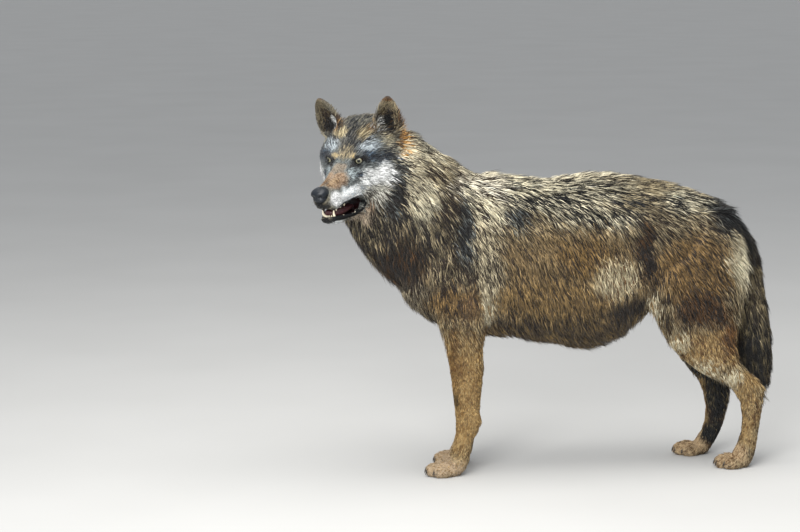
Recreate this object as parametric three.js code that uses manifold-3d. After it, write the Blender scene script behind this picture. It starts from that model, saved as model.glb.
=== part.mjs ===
// A timber wolf standing with its head turned to its left, life size, in millimetres.
// The wolf faces -Y, its left side is +X and +Z is up. All sizes run out to the tips of the coat.
// The flesh is lofted through a few named stations, joined, and parted again with thin cuts.
import * as THREE from "three";
import { LoftGeometry } from "three/addons/geometries/LoftGeometry.js";
import { mergeVertices } from "three/addons/utils/BufferGeometryUtils.js";
import Module from "manifold-3d";

const wasm = await Module();
wasm.setup();

// Driving dimensions.
const WITHERS_HEIGHT = 752; // floor to the coat over the shoulder blades
const RUMP_HEIGHT = 708;
const BELLY_HEIGHT = 298; // floor to the lowest hair of the belly
const CHEST_FRONT = -488; // foremost point of the breast, measured from the middle of the body
const BUTTOCK = 404;
const RIB_WIDTH = 288; // widest width of the barrel
const ELBOW_HEIGHT = 385;
const HOCK_HEIGHT = 208;
const FOREPAW_X = 64; // half the track width in front
const HINDPAW_X = 82;
const HEAD_YAW = THREE.MathUtils.degToRad(55); // turned to the wolf's left
const HEAD_PITCH = THREE.MathUtils.degToRad(13); // nose down
const EYES_AT = new THREE.Vector3(120, -622, 794); // the point midway between the eyes
const EYE_RADIUS = 12.5;
const NOSE_REACH = 144; // from between the eyes to the tip of the nose
const CUT = 0.4; // width of the gap between neighbouring parts
const SMOOTHING = 1.6; // largest shift when needless triangles are merged before the parts are cut
const TRIMMING = 0.15; // the same once they are cut, less than half the gap

const COLOURS = {
  coat: 0x8f7c60, leg: 0xa88c60, nose: 0x17171b, eye: 0xb79a4c, claw: 0x2a2624, tongue: 0x8a4a4c,
};
const ROUGHNESS = { glossy: 0.25, coat: 0.85 };

// Steps along each loft and sides round it. An ellipsoid has sides round it and bands down it.
const STEPS = {
  trunk: [22, 18], neck: [10, 18], leg: [17, 10], tail: [10, 12], cranium: [26, 16], jaw: [9, 12],
  nose: [6, 12], tongue: [6, 10], ear: [6, 10],
  toe: [8, 5], fullness: [10, 6], bulk: [12, 6], eye: [10, 6],
};
const CLAW_SIDES = 5;
const TOOTH_SIDES = 4;

// Exponents of the outlines: 2 is an ellipse, larger ones are squarer.
const SQUARENESS = { body: 2.25, neck: 2.1, ear: 2 };

// ---- solids ------------------------------------------------------------------------------------

// A closed three.js geometry as a solid.
function solid(geometry) {
  const bare = new THREE.BufferGeometry();
  bare.setAttribute("position", geometry.getAttribute("position"));
  bare.setIndex(geometry.index);
  const merged = mergeVertices(bare, 1e-3);
  return new wasm.Manifold(new wasm.Mesh({
    numProp: 3,
    vertProperties: merged.attributes.position.array,
    triVerts: new Uint32Array(merged.index.array),
  }));
}

const join = (...solids) => solids.reduce((a, b) => a.add(b));

const largestBody = (whole) => whole.decompose().sort((a, b) => b.volume() - a.volume())[0];

// A solid as a three.js geometry.
function geometryOf(shape) {
  const { numProp, numVert, vertProperties, triVerts } = shape.getMesh();
  const position = new Float32Array(numVert * 3);
  for (let i = 0; i < numVert; i++) {
    position.set(vertProperties.subarray(i * numProp, i * numProp + 3), i * 3);
  }
  const geometry = new THREE.BufferGeometry();
  geometry.setAttribute("position", new THREE.BufferAttribute(position, 3));
  geometry.setIndex(new THREE.BufferAttribute(triVerts, 1));
  geometry.computeVertexNormals();
  return geometry;
}

// The largest body of a solid, without the crumbs that cutting leaves.
const clean = (whole) =>
  geometryOf(largestBody(solid(geometryOf(largestBody(whole).simplify(TRIMMING)))));

// ---- lofts through named stations --------------------------------------------------------------

// Reads the values of every key off a smooth curve through the stations, at count + 1 even steps.
function between(stations, count) {
  const keys = Object.keys(stations[0]);
  const curves = keys.map(
    (key) => new THREE.SplineCurve(stations.map((s, i) => new THREE.Vector2(i, s[key]))),
  );
  return Array.from({ length: count + 1 }, (_, i) =>
    Object.fromEntries(keys.map((key, k) => [key, curves[k].getPoint(i / count).y])),
  );
}

// A ring of a superellipse: across is its half width, up and down its reach from the widest level.
function ring(sides, across, up, down, square, place) {
  return Array.from({ length: sides }, (_, i) => {
    const angle = (2 * Math.PI * i) / sides;
    const [c, s] = [Math.cos(angle), Math.sin(angle)];
    const bulge = (v) => Math.sign(v) * Math.abs(v) ** (2 / square);
    return place(across * bulge(c), bulge(s) * (s > 0 ? up : down));
  });
}

const middleOf = (points) =>
  points.reduce((sum, p) => sum.add(p), new THREE.Vector3()).divideScalar(points.length);

// The solid through a row of rings, whose end rings are moved outwards by grow.
function capped(rings, grow = 0) {
  const middles = rings.map(middleOf);
  const last = rings.length - 1;
  for (const [end, next] of [[0, 1], [last, last - 1]]) {
    const outwards = middles[end].clone().sub(middles[next]).setLength(grow);
    rings[end].forEach((point) => point.add(outwards));
  }
  const third = Math.floor(rings[0].length / 3);
  const facing = new THREE.Triangle(rings[0][0], rings[0][third], rings[0][2 * third])
    .getNormal(new THREE.Vector3());
  const clockwise = facing.dot(middles[1].clone().sub(middles[0])) < 0;
  const sections = clockwise ? rings.map((points) => points.toReversed()) : rings;
  return solid(new LoftGeometry(sections, { capStart: true, capEnd: true }));
}

// Upright slices across Y. A station gives top, bottom, level of the widest point and half width.
function loftAlongY(stations, rings, sides, grow = 0) {
  return capped(between(stations, rings).map((s) =>
    ring(sides, s.wide + grow, s.top - s.level + grow, s.level - s.bottom + grow,
      s.square ?? SQUARENESS.body, (a, b) => new THREE.Vector3(a, s.y, s.level + b)),
  ), grow);
}

// Level slices across Z. A station gives front, back, the middle in X and half width.
function loftAlongZ(stations, rings, sides, grow = 0) {
  return capped(between(stations, rings).map((s) => {
    const reach = (s.back - s.front) / 2 + grow;
    return ring(sides, s.wide + grow, reach, reach, SQUARENESS.body,
      (a, b) => new THREE.Vector3(s.x + a, (s.front + s.back) / 2 + b, s.z));
  }), grow);
}

// Slices square to a path. A station gives its centre, half width, and reach above and below.
function loftAlongPath(stations, rings, sides, grow = 0) {
  const path = new THREE.CatmullRomCurve3(
    stations.map((s) => new THREE.Vector3(s.x, s.y, s.z)), false, "catmullrom",
  );
  return capped(between(stations, rings).map((s, i) => {
    const centre = path.getPoint(i / rings);
    const along = path.getTangent(i / rings);
    const side = new THREE.Vector3().crossVectors(along, new THREE.Vector3(0, 0, 1)).normalize();
    const above = new THREE.Vector3().crossVectors(side, along);
    return ring(sides, s.wide + grow, s.up + grow, s.down + grow, SQUARENESS.neck, (a, b) =>
      centre.clone().addScaledVector(side, a).addScaledVector(above, b));
  }), grow);
}

function ellipsoid(x, y, z, wide, long, high, [sides, bands]) {
  const geometry = new THREE.SphereGeometry(1, sides, bands);
  geometry.scale(wide, long, high);
  geometry.translate(x, y, z);
  return solid(geometry);
}

// ---- trunk and neck ----------------------------------------------------------------------------

const TRUNK = [
  { y: CHEST_FRONT, top: 585, level: 540, bottom: 486, wide: 46 },
  { y: -455, top: 640, level: 560, bottom: 432, wide: 98 },
  { y: -390, top: 700, level: 560, bottom: 378, wide: 124 },
  { y: -300, top: WITHERS_HEIGHT - 6, level: 550, bottom: 346, wide: 134 },
  { y: -200, top: WITHERS_HEIGHT - 11, level: 540, bottom: 330, wide: 141 },
  { y: -100, top: 729, level: 530, bottom: 314, wide: RIB_WIDTH / 2 },
  { y: -20, top: 739, level: 520, bottom: BELLY_HEIGHT, wide: 142 },
  { y: 60, top: 737, level: 525, bottom: 318, wide: 134 },
  { y: 130, top: 727, level: 540, bottom: 372, wide: 128 },
  { y: 210, top: RUMP_HEIGHT, level: 560, bottom: 430, wide: 122 },
  { y: 290, top: 678, level: 560, bottom: 440, wide: 106 },
  { y: 350, top: 645, level: 550, bottom: 450, wide: 84 },
  { y: BUTTOCK, top: 575, level: 530, bottom: 480, wide: 44 },
];

const NECK = [
  { x: 0, y: -255, z: 570, wide: 120, up: 165, down: 190 },
  { x: 2, y: -330, z: 610, wide: 124, up: 146, down: 202 },
  { x: 8, y: -400, z: 655, wide: 124, up: 136, down: 192 },
  { x: 18, y: -470, z: 705, wide: 122, up: 134, down: 176 },
  { x: 30, y: -525, z: 745, wide: 116, up: 133, down: 150 },
  { x: 46, y: -560, z: 768, wide: 104, up: 120, down: 126 },
  { x: 60, y: -582, z: 780, wide: 80, up: 70, down: 92 },
];

const trunk = (grow = 0) => loftAlongY(TRUNK, ...STEPS.trunk, grow);
const neck = (grow = 0) => loftAlongPath(NECK, ...STEPS.neck, grow);

// ---- legs --------------------------------------------------------------------------------------

// Outlines of the legs as seen from the side, with the middle and half width seen from ahead.
const FORELEG = [
  { z: 610, front: -396, back: -300, x: 74, wide: 36 },
  { z: 520, front: -424, back: -268, x: 78, wide: 48 },
  { z: 440, front: -412, back: -252, x: 81, wide: 46 },
  { z: ELBOW_HEIGHT, front: -391, back: -264, x: 79, wide: 41 },
  { z: 340, front: -377, back: -277, x: 76, wide: 36 },
  { z: 285, front: -367, back: -280, x: 73, wide: 32 },
  { z: 225, front: -358, back: -281, x: 70, wide: 29 },
  { z: 170, front: -352, back: -288, x: 68, wide: 27 },
  { z: 128, front: -349, back: -282, x: 67, wide: 28 },
  { z: 92, front: -352, back: -303, x: 66, wide: 27 },
  { z: 56, front: -364, back: -312, x: 65, wide: 29 },
  { z: 26, front: -378, back: -318, x: FOREPAW_X, wide: 30 },
  { z: 8, front: -378, back: -332, x: FOREPAW_X, wide: 26 },
];

const HINDLEG_LEFT = [
  { z: 650, front: 215, back: 330, x: 58, wide: 40 },
  { z: 570, front: 150, back: 372, x: 68, wide: 56 },
  { z: 490, front: 108, back: 384, x: 76, wide: 62 },
  { z: 430, front: 118, back: 372, x: 80, wide: 60 },
  { z: 375, front: 148, back: 360, x: 82, wide: 52 },
  { z: 315, front: 181, back: 352, x: 83, wide: 43 },
  { z: 268, front: 228, back: 368, x: 83, wide: 35 },
  { z: 238, front: 268, back: 393, x: 83, wide: 30 },
  { z: HOCK_HEIGHT, front: 330, back: 427, x: 83, wide: 26 },
  { z: 170, front: 363, back: 427, x: 82, wide: 23 },
  { z: 120, front: 371, back: 419, x: 82, wide: 22 },
  { z: 80, front: 367, back: 413, x: 82, wide: 23 },
  { z: 48, front: 354, back: 408, x: HINDPAW_X, wide: 27 },
  { z: 24, front: 342, back: 402, x: HINDPAW_X, wide: 29 },
  { z: 6, front: 342, back: 390, x: HINDPAW_X, wide: 26 },
];

// The right hind leg is set further forwards, with its knee less bent.
const HINDLEG_RIGHT = [
  { z: 650, front: 215, back: 330, x: -58, wide: 40 },
  { z: 570, front: 158, back: 374, x: -68, wide: 56 },
  { z: 490, front: 132, back: 386, x: -76, wide: 62 },
  { z: 430, front: 148, back: 376, x: -80, wide: 60 },
  { z: 375, front: 174, back: 364, x: -82, wide: 52 },
  { z: 315, front: 205, back: 350, x: -83, wide: 43 },
  { z: 268, front: 238, back: 352, x: -83, wide: 35 },
  { z: 238, front: 258, back: 364, x: -83, wide: 30 },
  { z: HOCK_HEIGHT, front: 287, back: 382, x: -83, wide: 26 },
  { z: 170, front: 307, back: 387, x: -82, wide: 23 },
  { z: 120, front: 318, back: 377, x: -82, wide: 22 },
  { z: 80, front: 314, back: 366, x: -82, wide: 23 },
  { z: 48, front: 301, back: 352, x: -HINDPAW_X, wide: 27 },
  { z: 24, front: 282, back: 338, x: -HINDPAW_X, wide: 29 },
  { z: 6, front: 282, back: 326, x: -HINDPAW_X, wide: 26 },
];

// The right foreleg is the left one's mirror image, swung backwards below the elbow.
const SWING = 27;
const SWING_FROM = 470; // a limb hangs straight above this height and is fully swung below SWING_TO
const SWING_TO = 215;

const FORELEG_RIGHT = FORELEG.map((s) => {
  const back = SWING * THREE.MathUtils.smoothstep(SWING_FROM - s.z, 0, SWING_FROM - SWING_TO);
  return { ...s, x: -s.x, front: s.front + back, back: s.back + back };
});

// Each limb: its outline, its side and the middle of its toes.
const LIMBS = {
  foreleg_left: { outline: FORELEG, side: 1, paw: { x: FOREPAW_X, y: -380 } },
  foreleg_right: { outline: FORELEG_RIGHT, side: -1, paw: { x: FOREPAW_X, y: -343 } },
  hindleg_left: { outline: HINDLEG_LEFT, side: 1, paw: { x: HINDPAW_X, y: 346 } },
  hindleg_right: { outline: HINDLEG_RIGHT, side: -1, paw: { x: HINDPAW_X, y: 278 } },
};

// The four toes of a paw, inner to outer: place across the paw, place ahead of it and half width.
const TOES = [
  { name: "inner", across: -26, ahead: 3, wide: 13 },
  { name: "second", across: -10, ahead: 19, wide: 13.5 },
  { name: "third", across: 10, ahead: 19, wide: 13.5 },
  { name: "outer", across: 26, ahead: 3, wide: 13 },
];
const TOE = { height: 14, long: 25, high: 19 };
const PAD = { behind: 14, height: 14, wide: 31, long: 36, high: 22 };
const CLAW = { long: 16, radius: 3.6, lean: 0.62, sunk: 2, lowered: 4 }; // set into the toe's front

const toePlace = (limb, toe) =>
  new THREE.Vector3(limb.side * (limb.paw.x + toe.across), limb.paw.y - toe.ahead, TOE.height);

// A claw, or with a margin the socket it stands in.
function claw(limb, toe, margin = 0) {
  const geometry = new THREE.ConeGeometry(CLAW.radius + margin, CLAW.long + 2 * margin, CLAW_SIDES);
  geometry.rotateX(-Math.PI / 2 - CLAW.lean);
  const place = toePlace(limb, toe);
  geometry.translate(place.x, place.y - TOE.long + CLAW.sunk, place.z - CLAW.lowered);
  return solid(geometry);
}

function leg(limb, grow = 0) {
  const toes = TOES.map((toe) => {
    const { x, y, z } = toePlace(limb, toe);
    return ellipsoid(x, y, z, toe.wide + grow, TOE.long + grow, TOE.high + grow, STEPS.toe);
  });
  const pad = ellipsoid(limb.side * limb.paw.x, limb.paw.y + PAD.behind, PAD.height,
    PAD.wide + grow, PAD.long + grow, PAD.high + grow, STEPS.toe);
  return join(loftAlongZ(limb.outline, ...STEPS.leg, grow), pad, ...toes);
}

// ---- tail --------------------------------------------------------------------------------------

const TAIL = [
  { z: 620, front: 318, back: 372, x: 0, wide: 26 },
  { z: 570, front: 330, back: 410, x: 0, wide: 34 },
  { z: 510, front: 350, back: 428, x: 0, wide: 38 },
  { z: 440, front: 362, back: 440, x: 0, wide: 44 },
  { z: 370, front: 364, back: 452, x: 0, wide: 49 },
  { z: 300, front: 368, back: 463, x: 0, wide: 50 },
  { z: 245, front: 382, back: 467, x: 0, wide: 44 },
  { z: 205, front: 402, back: 460, x: 0, wide: 31 },
  { z: 172, front: 426, back: 444, x: 0, wide: 9 },
];

// ---- head --------------------------------------------------------------------------------------
// The head is made in its own frame, like the body's, with its origin midway between the eyes.

const CRANIUM = [
  { y: -134, top: -40, level: -54, bottom: -72, wide: 12, square: 2.2 },
  { y: -124, top: -33, level: -58, bottom: -80, wide: 22, square: 2.3 },
  { y: -98, top: -27, level: -64, bottom: -91, wide: 28, square: 2.4 },
  { y: -66, top: -21, level: -68, bottom: -95, wide: 33, square: 2.4 },
  { y: -36, top: -13, level: -66, bottom: -92, wide: 41, square: 2.4 },
  { y: -10, top: 0, level: -58, bottom: -96, wide: 56, square: 2.6 },
  { y: 10, top: 15, level: -48, bottom: -104, wide: 75, square: 2.7 },
  { y: 34, top: 38, level: -40, bottom: -116, wide: 95, square: 2.5 },
  { y: 60, top: 60, level: -34, bottom: -128, wide: 108, square: 2.3 },
  { y: 92, top: 76, level: -30, bottom: -130, wide: 114, square: 2.2 },
  { y: 122, top: 80, level: -24, bottom: -116, wide: 108, square: 2.1 },
  { y: 150, top: 72, level: -18, bottom: -94, wide: 96, square: 2.1 },
  { y: 176, top: 50, level: -14, bottom: -70, wide: 72, square: 2.1 },
];

const JAW = [
  { y: -118, top: -106, level: -109, bottom: -113, wide: 10, square: 2.2 },
  { y: -108, top: -104, level: -111, bottom: -124, wide: 17, square: 2.5 },
  { y: -84, top: -107, level: -115, bottom: -133, wide: 23, square: 2.8 },
  { y: -50, top: -116, level: -124, bottom: -139, wide: 29, square: 2.8 },
  { y: -16, top: -118, level: -127, bottom: -143, wide: 36, square: 2.6 },
  { y: 16, top: -104, level: -122, bottom: -145, wide: 50, square: 2.4 },
];
const JAW_TROUGH = { y: -48, z: -113, wide: 21, long: 52, high: 12 };

const TONGUE = [
  { y: -92, top: -110, level: -113, bottom: -115, wide: 8, square: 2 },
  { y: -78, top: -109, level: -114, bottom: -118, wide: 15, square: 2 },
  { y: -40, top: -110, level: -116, bottom: -121, wide: 17, square: 2 },
  { y: -4, top: -108, level: -114, bottom: -120, wide: 15, square: 2 },
];

// Hollows and teeth of the mouth. A tooth gives its root, its lean, length and thickness.
const PALATE = { y: -62, z: -101, wide: 24, long: 60, high: 17 };
const CANINES = {
  lower: { x: 13, y: -97, z: -108, lean: 0.1, long: 19, thick: 3.6 },
  upper: { x: 18, y: -86, z: -76, lean: 0.05, long: -19, thick: 3.6 },
};
const INCISORS = { count: 6, y: -103, z: -106, spread: 9, bow: 4, long: 6.5, thick: 1.9 };

const NOSE = [
  { y: -NOSE_REACH - 1, top: -38, level: -43, bottom: -50, wide: 9, square: 2.3 },
  { y: -NOSE_REACH + 4, top: -32, level: -42, bottom: -58, wide: 16.5, square: 2.4 },
  { y: -NOSE_REACH + 14, top: -28, level: -41, bottom: -62, wide: 19.5, square: 2.4 },
  { y: -NOSE_REACH + 30, top: -28, level: -42, bottom: -58, wide: 18, square: 2.4 },
];

// Fullness laid on the lofted head: middle and half sizes, on both sides.
const FULLNESS = [
  { name: "brow", x: 28, y: 26, z: 3, wide: 22, long: 27, high: 17 },
  { name: "whisker_pad", x: 13, y: -84, z: -76, wide: 19, long: 36, high: 18 },
];

const EYE = new THREE.Vector3(37, 11, 0);
const SOCKET = { x: 46, y: -3, z: 1, wide: 15, high: 12 };

// Ears run from the middle of the base to the tip and open forwards and outwards.
const EARS = {
  ear_left: {
    base: new THREE.Vector3(70, 98, 32),
    tip: new THREE.Vector3(92, 88, 134),
    opens: new THREE.Vector3(0.53, -0.85, 0),
  },
  ear_right: {
    base: new THREE.Vector3(-66, 92, 34),
    tip: new THREE.Vector3(-94, 78, 127),
    opens: new THREE.Vector3(-0.1, -0.99, 0),
  },
};
const EAR = [
  { at: -0.12, wide: 34, deep: 26 },
  { at: 0.15, wide: 35.5, deep: 24 },
  { at: 0.4, wide: 34, deep: 18 },
  { at: 0.6, wide: 29, deep: 14 },
  { at: 0.8, wide: 20, deep: 10 },
  { at: 0.92, wide: 12, deep: 7 },
  { at: 1, wide: 4, deep: 3.5 },
];
const EAR_HOLLOW = [
  { at: 0.04, wide: 12, deep: 10 },
  { at: 0.2, wide: 25, deep: 19 },
  { at: 0.4, wide: 28, deep: 17 },
  { at: 0.6, wide: 23, deep: 13 },
  { at: 0.8, wide: 14, deep: 9 },
  { at: 0.92, wide: 6, deep: 5 },
  { at: 0.96, wide: 2, deep: 2 },
];
const EAR_WALL = 7; // how far the hollow lies ahead of the middle of the ear

// A body of stations along the line from an ear's base to its tip, moved forwards by ahead.
function earShape({ base, tip, opens }, stations, grow = 0, ahead = 0) {
  const axis = tip.clone().sub(base);
  const up = axis.clone().normalize();
  const across = new THREE.Vector3().crossVectors(up, opens).normalize();
  const out = new THREE.Vector3().crossVectors(across, up);
  const [rings, sides] = STEPS.ear;
  return capped(between(stations, rings).map((s) =>
    ring(sides, s.wide + grow, s.deep + grow, s.deep + grow, SQUARENESS.ear, (a, b) =>
      base.clone().addScaledVector(axis, s.at).addScaledVector(across, a)
        .addScaledVector(out, b + ahead))), grow);
}

const SIDES = { left: 1, right: -1 };
const HEAD_PLACE = new THREE.Matrix4().makeRotationFromEuler(
  new THREE.Euler(HEAD_PITCH, 0, HEAD_YAW, "ZXY"),
).setPosition(EYES_AT);
const placed = (shape) => shape.transform(HEAD_PLACE.toArray());

const cranium = (grow = 0) => join(
  loftAlongY(CRANIUM, ...STEPS.cranium, grow),
  ...Object.values(SIDES).flatMap((side) => FULLNESS.map((f) =>
    ellipsoid(side * f.x, f.y, f.z, f.wide + grow, f.long + grow, f.high + grow, STEPS.fullness))),
);
const jaw = (grow = 0) => loftAlongY(JAW, ...STEPS.jaw, grow);
const nose = (grow = 0) => loftAlongY(NOSE, ...STEPS.nose, grow);
const tongue = (grow = 0) => loftAlongY(TONGUE, ...STEPS.tongue, grow);
const bulk = ({ y, z, wide, long, high }) => ellipsoid(0, y, z, wide, long, high, STEPS.bulk);

// A pointed tooth standing on its root, or hanging from it if its length is negative.
function tooth(x, y, z, lean, long, thick) {
  const geometry = new THREE.ConeGeometry(thick, Math.abs(long) + thick, TOOTH_SIDES);
  geometry.translate(0, (Math.abs(long) - thick) / 2, 0);
  geometry.rotateX(long > 0 ? Math.PI / 2 + lean : -Math.PI / 2 - lean);
  geometry.translate(x, y, z);
  return solid(geometry);
}

function teeth(row) {
  const { x, y, z, lean, long, thick } = CANINES[row];
  const canines = Object.values(SIDES).map((side) => tooth(side * x, y, z, lean, long, thick));
  if (row === "upper") return join(...canines);
  const incisors = Array.from({ length: INCISORS.count }, (_, i) => {
    const across = (2 * i) / (INCISORS.count - 1) - 1;
    return tooth(across * INCISORS.spread, INCISORS.y + INCISORS.bow * across ** 2, INCISORS.z,
      0, INCISORS.long, INCISORS.thick);
  });
  return join(...canines, ...incisors);
}

const eyeball = (side, margin = 0) => {
  const radius = EYE_RADIUS + margin;
  return ellipsoid(side * EYE.x, EYE.y, EYE.z, radius, radius, radius, STEPS.eye);
};
const socket = (side) =>
  ellipsoid(side * SOCKET.x, SOCKET.y, SOCKET.z, SOCKET.wide, SOCKET.wide, SOCKET.high, STEPS.eye);

// What is cut out of the head for the eyes, nose, ears and mouth.
const hollows = () => join(
  nose(CUT), bulk(PALATE),
  ...Object.values(SIDES).flatMap((side) => [socket(side), eyeball(side, CUT)]),
  ...Object.values(EARS).map((ear) => earShape(ear, EAR_HOLLOW, 0, EAR_WALL)),
);

// ---- parting -----------------------------------------------------------------------------------

// Planes that part the neck from the trunk and the head from the neck, through a point.
const NECK_CUT = { at: new THREE.Vector3(0, -395, 600), normal: new THREE.Vector3(0, -0.86, 0.51) };
const HEAD_CUT = { at: new THREE.Vector3(0, 112, 0), normal: new THREE.Vector3(0, -0.9, 0.43) };

// The part of a solid beyond a plane, or short of it.
function beyond(shape, { at, normal }, side = 1) {
  const n = normal.clone().normalize().multiplyScalar(side);
  return shape.trimByPlane(n.toArray(), n.dot(at) + CUT / 2);
}

// Boxes that hold a leg up to where it joins the trunk: middle of the top edge, tilt and size.
const LEG_BOXES = {
  foreleg: { y: -338, z: 392, tilt: -0.12, length: 196 },
  hindleg: { y: 250, z: 500, tilt: 0.3, length: 330 },
};
const LEG_BOX = { width: 260, height: 1200 }; // for one leg: wider and taller than any

// The box round a pair of legs, or its half on one side of the wolf.
function legBox(kind, side = 0, margin = 0) {
  const { y, z, tilt, length } = LEG_BOXES[kind];
  const width = side ? LEG_BOX.width : 2 * LEG_BOX.width;
  const { height } = LEG_BOX;
  const geometry = new THREE.BoxGeometry(width, length + 2 * margin, height);
  geometry.translate(side * (width / 2 + CUT), 0, margin - height / 2);
  geometry.rotateX(tilt);
  geometry.translate(0, y, z);
  return solid(geometry);
}

function parts() {
  const limbs = Object.entries(LIMBS);
  const limbShapes = (grow = 0) => limbs.map(([, limb]) => leg(limb, grow));
  const headCut = {
    at: HEAD_CUT.at.clone().applyMatrix4(HEAD_PLACE),
    normal: HEAD_CUT.normal.clone().transformDirection(HEAD_PLACE),
  };
  const whole = join(trunk(), neck(), placed(cranium()), ...limbShapes())
    .simplify(SMOOTHING).trimByPlane([0, 0, 1], 0);
  const front = beyond(whole, NECK_CUT);
  const barrel = beyond(whole, NECK_CUT, -1);
  const ears = Object.entries(EARS);
  const made = {
    head: beyond(front, headCut).subtract(placed(hollows())).add(placed(teeth("upper"))),
    neck: beyond(front, headCut, -1)
      .subtract(placed(join(jaw(CUT), ...ears.map(([, ear]) => earShape(ear, EAR, CUT))))),
    nose: placed(nose()),
    eye_left: placed(eyeball(1)),
    eye_right: placed(eyeball(-1)),
    tongue: placed(tongue()),
  };
  made.jaw = placed(jaw().subtract(bulk(JAW_TROUGH)).add(teeth("lower"))
    .subtract(join(cranium(CUT), tongue(CUT)))).subtract(neck(CUT));
  for (const [name, ear] of ears) {
    const hollow = earShape(ear, EAR_HOLLOW, 0, EAR_WALL);
    made[name] = placed(earShape(ear, EAR).subtract(join(hollow, cranium(CUT)))).subtract(neck(CUT));
  }
  for (const [name, limb] of limbs) {
    const sockets = TOES.map((toe) => claw(limb, toe, CUT));
    made[name] = barrel.intersect(legBox(name.split("_")[0], limb.side)).subtract(join(...sockets));
    for (const toe of TOES) {
      made[`claw_${name}_${toe.name}`] = claw(limb, toe);
    }
  }
  made.trunk = barrel.subtract(join(...Object.keys(LEG_BOXES).map((kind) => legBox(kind, 0, CUT))));
  made.tail = loftAlongZ(TAIL, ...STEPS.tail).subtract(join(trunk(CUT), ...limbShapes(CUT)));
  return made;
}

// ---- the group ---------------------------------------------------------------------------------

function colourOf(name) {
  if (name.startsWith("claw")) return COLOURS.claw;
  if (name.startsWith("eye")) return COLOURS.eye;
  if (name === "nose") return COLOURS.nose;
  if (name === "tongue") return COLOURS.tongue;
  if (name.includes("leg")) return COLOURS.leg;
  return COLOURS.coat;
}

const wolf = new THREE.Group();
for (const [name, part] of Object.entries(parts())) {
  const glossy = /^(eye|nose|claw)/.test(name);
  const material = new THREE.MeshStandardMaterial({
    color: colourOf(name), roughness: glossy ? ROUGHNESS.glossy : ROUGHNESS.coat, metalness: 0,
  });
  const mesh = new THREE.Mesh(clean(part), material);
  mesh.name = name;
  wolf.add(mesh);
}

// The origin is on the floor under the middle of the whole wolf's box.
const box = new THREE.Box3().setFromObject(wolf);
wolf.position.set(-(box.min.x + box.max.x) / 2, -(box.min.y + box.max.y) / 2, 0);

export default wolf;
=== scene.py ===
"""A timber wolf standing with its head turned to its left, as a still life-size model.

The solids of flesh become one skin, drawn in by the depth of the coat. Locks of hair stand on it,
combed and coloured by named spots. Eyes, lids, nose, lips, teeth, tongue and claws are pieces.

Body places are millimetres (x, y, z): the wolf faces -y, its left side is +x and the floor is z = 0.
Head places are millimetres (left, forward, up) from the point midway between the eyes.
Spots and marks are named on the left side and hold on both.
"""
import math
from functools import cache

import bpy
import numpy as np
from mathutils import Matrix, Vector
from mathutils.bvhtree import BVHTree


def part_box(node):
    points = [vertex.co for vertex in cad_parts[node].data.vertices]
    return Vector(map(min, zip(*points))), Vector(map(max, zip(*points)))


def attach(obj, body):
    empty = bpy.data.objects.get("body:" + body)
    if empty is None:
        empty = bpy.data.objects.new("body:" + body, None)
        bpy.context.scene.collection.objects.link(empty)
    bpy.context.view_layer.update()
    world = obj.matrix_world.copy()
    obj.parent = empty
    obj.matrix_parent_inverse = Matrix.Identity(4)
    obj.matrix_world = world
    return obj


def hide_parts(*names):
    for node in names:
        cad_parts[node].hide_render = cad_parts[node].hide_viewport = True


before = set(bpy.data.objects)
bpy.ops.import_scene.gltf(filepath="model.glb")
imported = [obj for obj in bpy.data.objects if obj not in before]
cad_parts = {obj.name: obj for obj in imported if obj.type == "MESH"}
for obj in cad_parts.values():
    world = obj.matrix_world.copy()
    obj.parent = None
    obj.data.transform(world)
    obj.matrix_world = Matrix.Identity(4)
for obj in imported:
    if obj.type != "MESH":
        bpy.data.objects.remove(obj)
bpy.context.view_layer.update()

MM = 0.001
SEED = 11

# ---- the head's own axes and where the body's millimetres start ------------------------------------

HEAD_YAW = math.radians(55)  # turned to the wolf's left
HEAD_PITCH = math.radians(13)  # nose down
EYES_AT = np.array([120.0, -622.0, 794.0])  # body place of the point midway between the eyes
EYE_BACK = 11  # the eyeballs' centres lie this far behind that point

LEFT = np.array([math.cos(HEAD_YAW), math.sin(HEAD_YAW), 0.0])
FORWARD = np.array([
    math.sin(HEAD_YAW) * math.cos(HEAD_PITCH),
    -math.cos(HEAD_YAW) * math.cos(HEAD_PITCH),
    -math.sin(HEAD_PITCH),
])
UP = np.cross(FORWARD, LEFT)
HEAD_AXES = np.array([LEFT, FORWARD, UP])


def middle_of(node):
    """The middle of a solid's box, in metres."""
    low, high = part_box(node)
    return (np.array(low) + np.array(high)) / 2


HEAD_AT = (middle_of("eye_left") + middle_of("eye_right")) / 2 + FORWARD * EYE_BACK * MM
BODY_AT = HEAD_AT - EYES_AT * MM


def from_body(places):
    """Body millimetres as metres of the frame."""
    return BODY_AT + MM * np.asarray(places, float)


def from_head(places):
    """Head millimetres as metres of the frame."""
    return HEAD_AT + MM * np.asarray(places, float) @ HEAD_AXES


def body_places(points):
    """Metres of the frame as body millimetres."""
    return (points - BODY_AT) / MM


def head_places(points):
    """Metres of the frame as head millimetres."""
    return (points - HEAD_AT) / MM @ HEAD_AXES.T


# ---- small numpy helpers ---------------------------------------------------------------------------

def unit(vectors):
    """Vectors scaled to length one."""
    return vectors / np.maximum(np.linalg.norm(vectors, axis=-1, keepdims=True), 1e-12)


def smooth_step(values, low, high):
    """0 below low, 1 above high and 3t^2 - 2t^3 between."""
    t = np.clip((values - low) / (high - low), 0, 1)
    return t * t * (3 - 2 * t)


CELL_KEYS = np.array([374761393, 668265263, 2147483647 // 3])
SEED_KEY, MIX_KEY = 1274126177, 1103515245  # large odd numbers that scramble the cells' numbers
LOW_BITS = 0xFFFFFF


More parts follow.
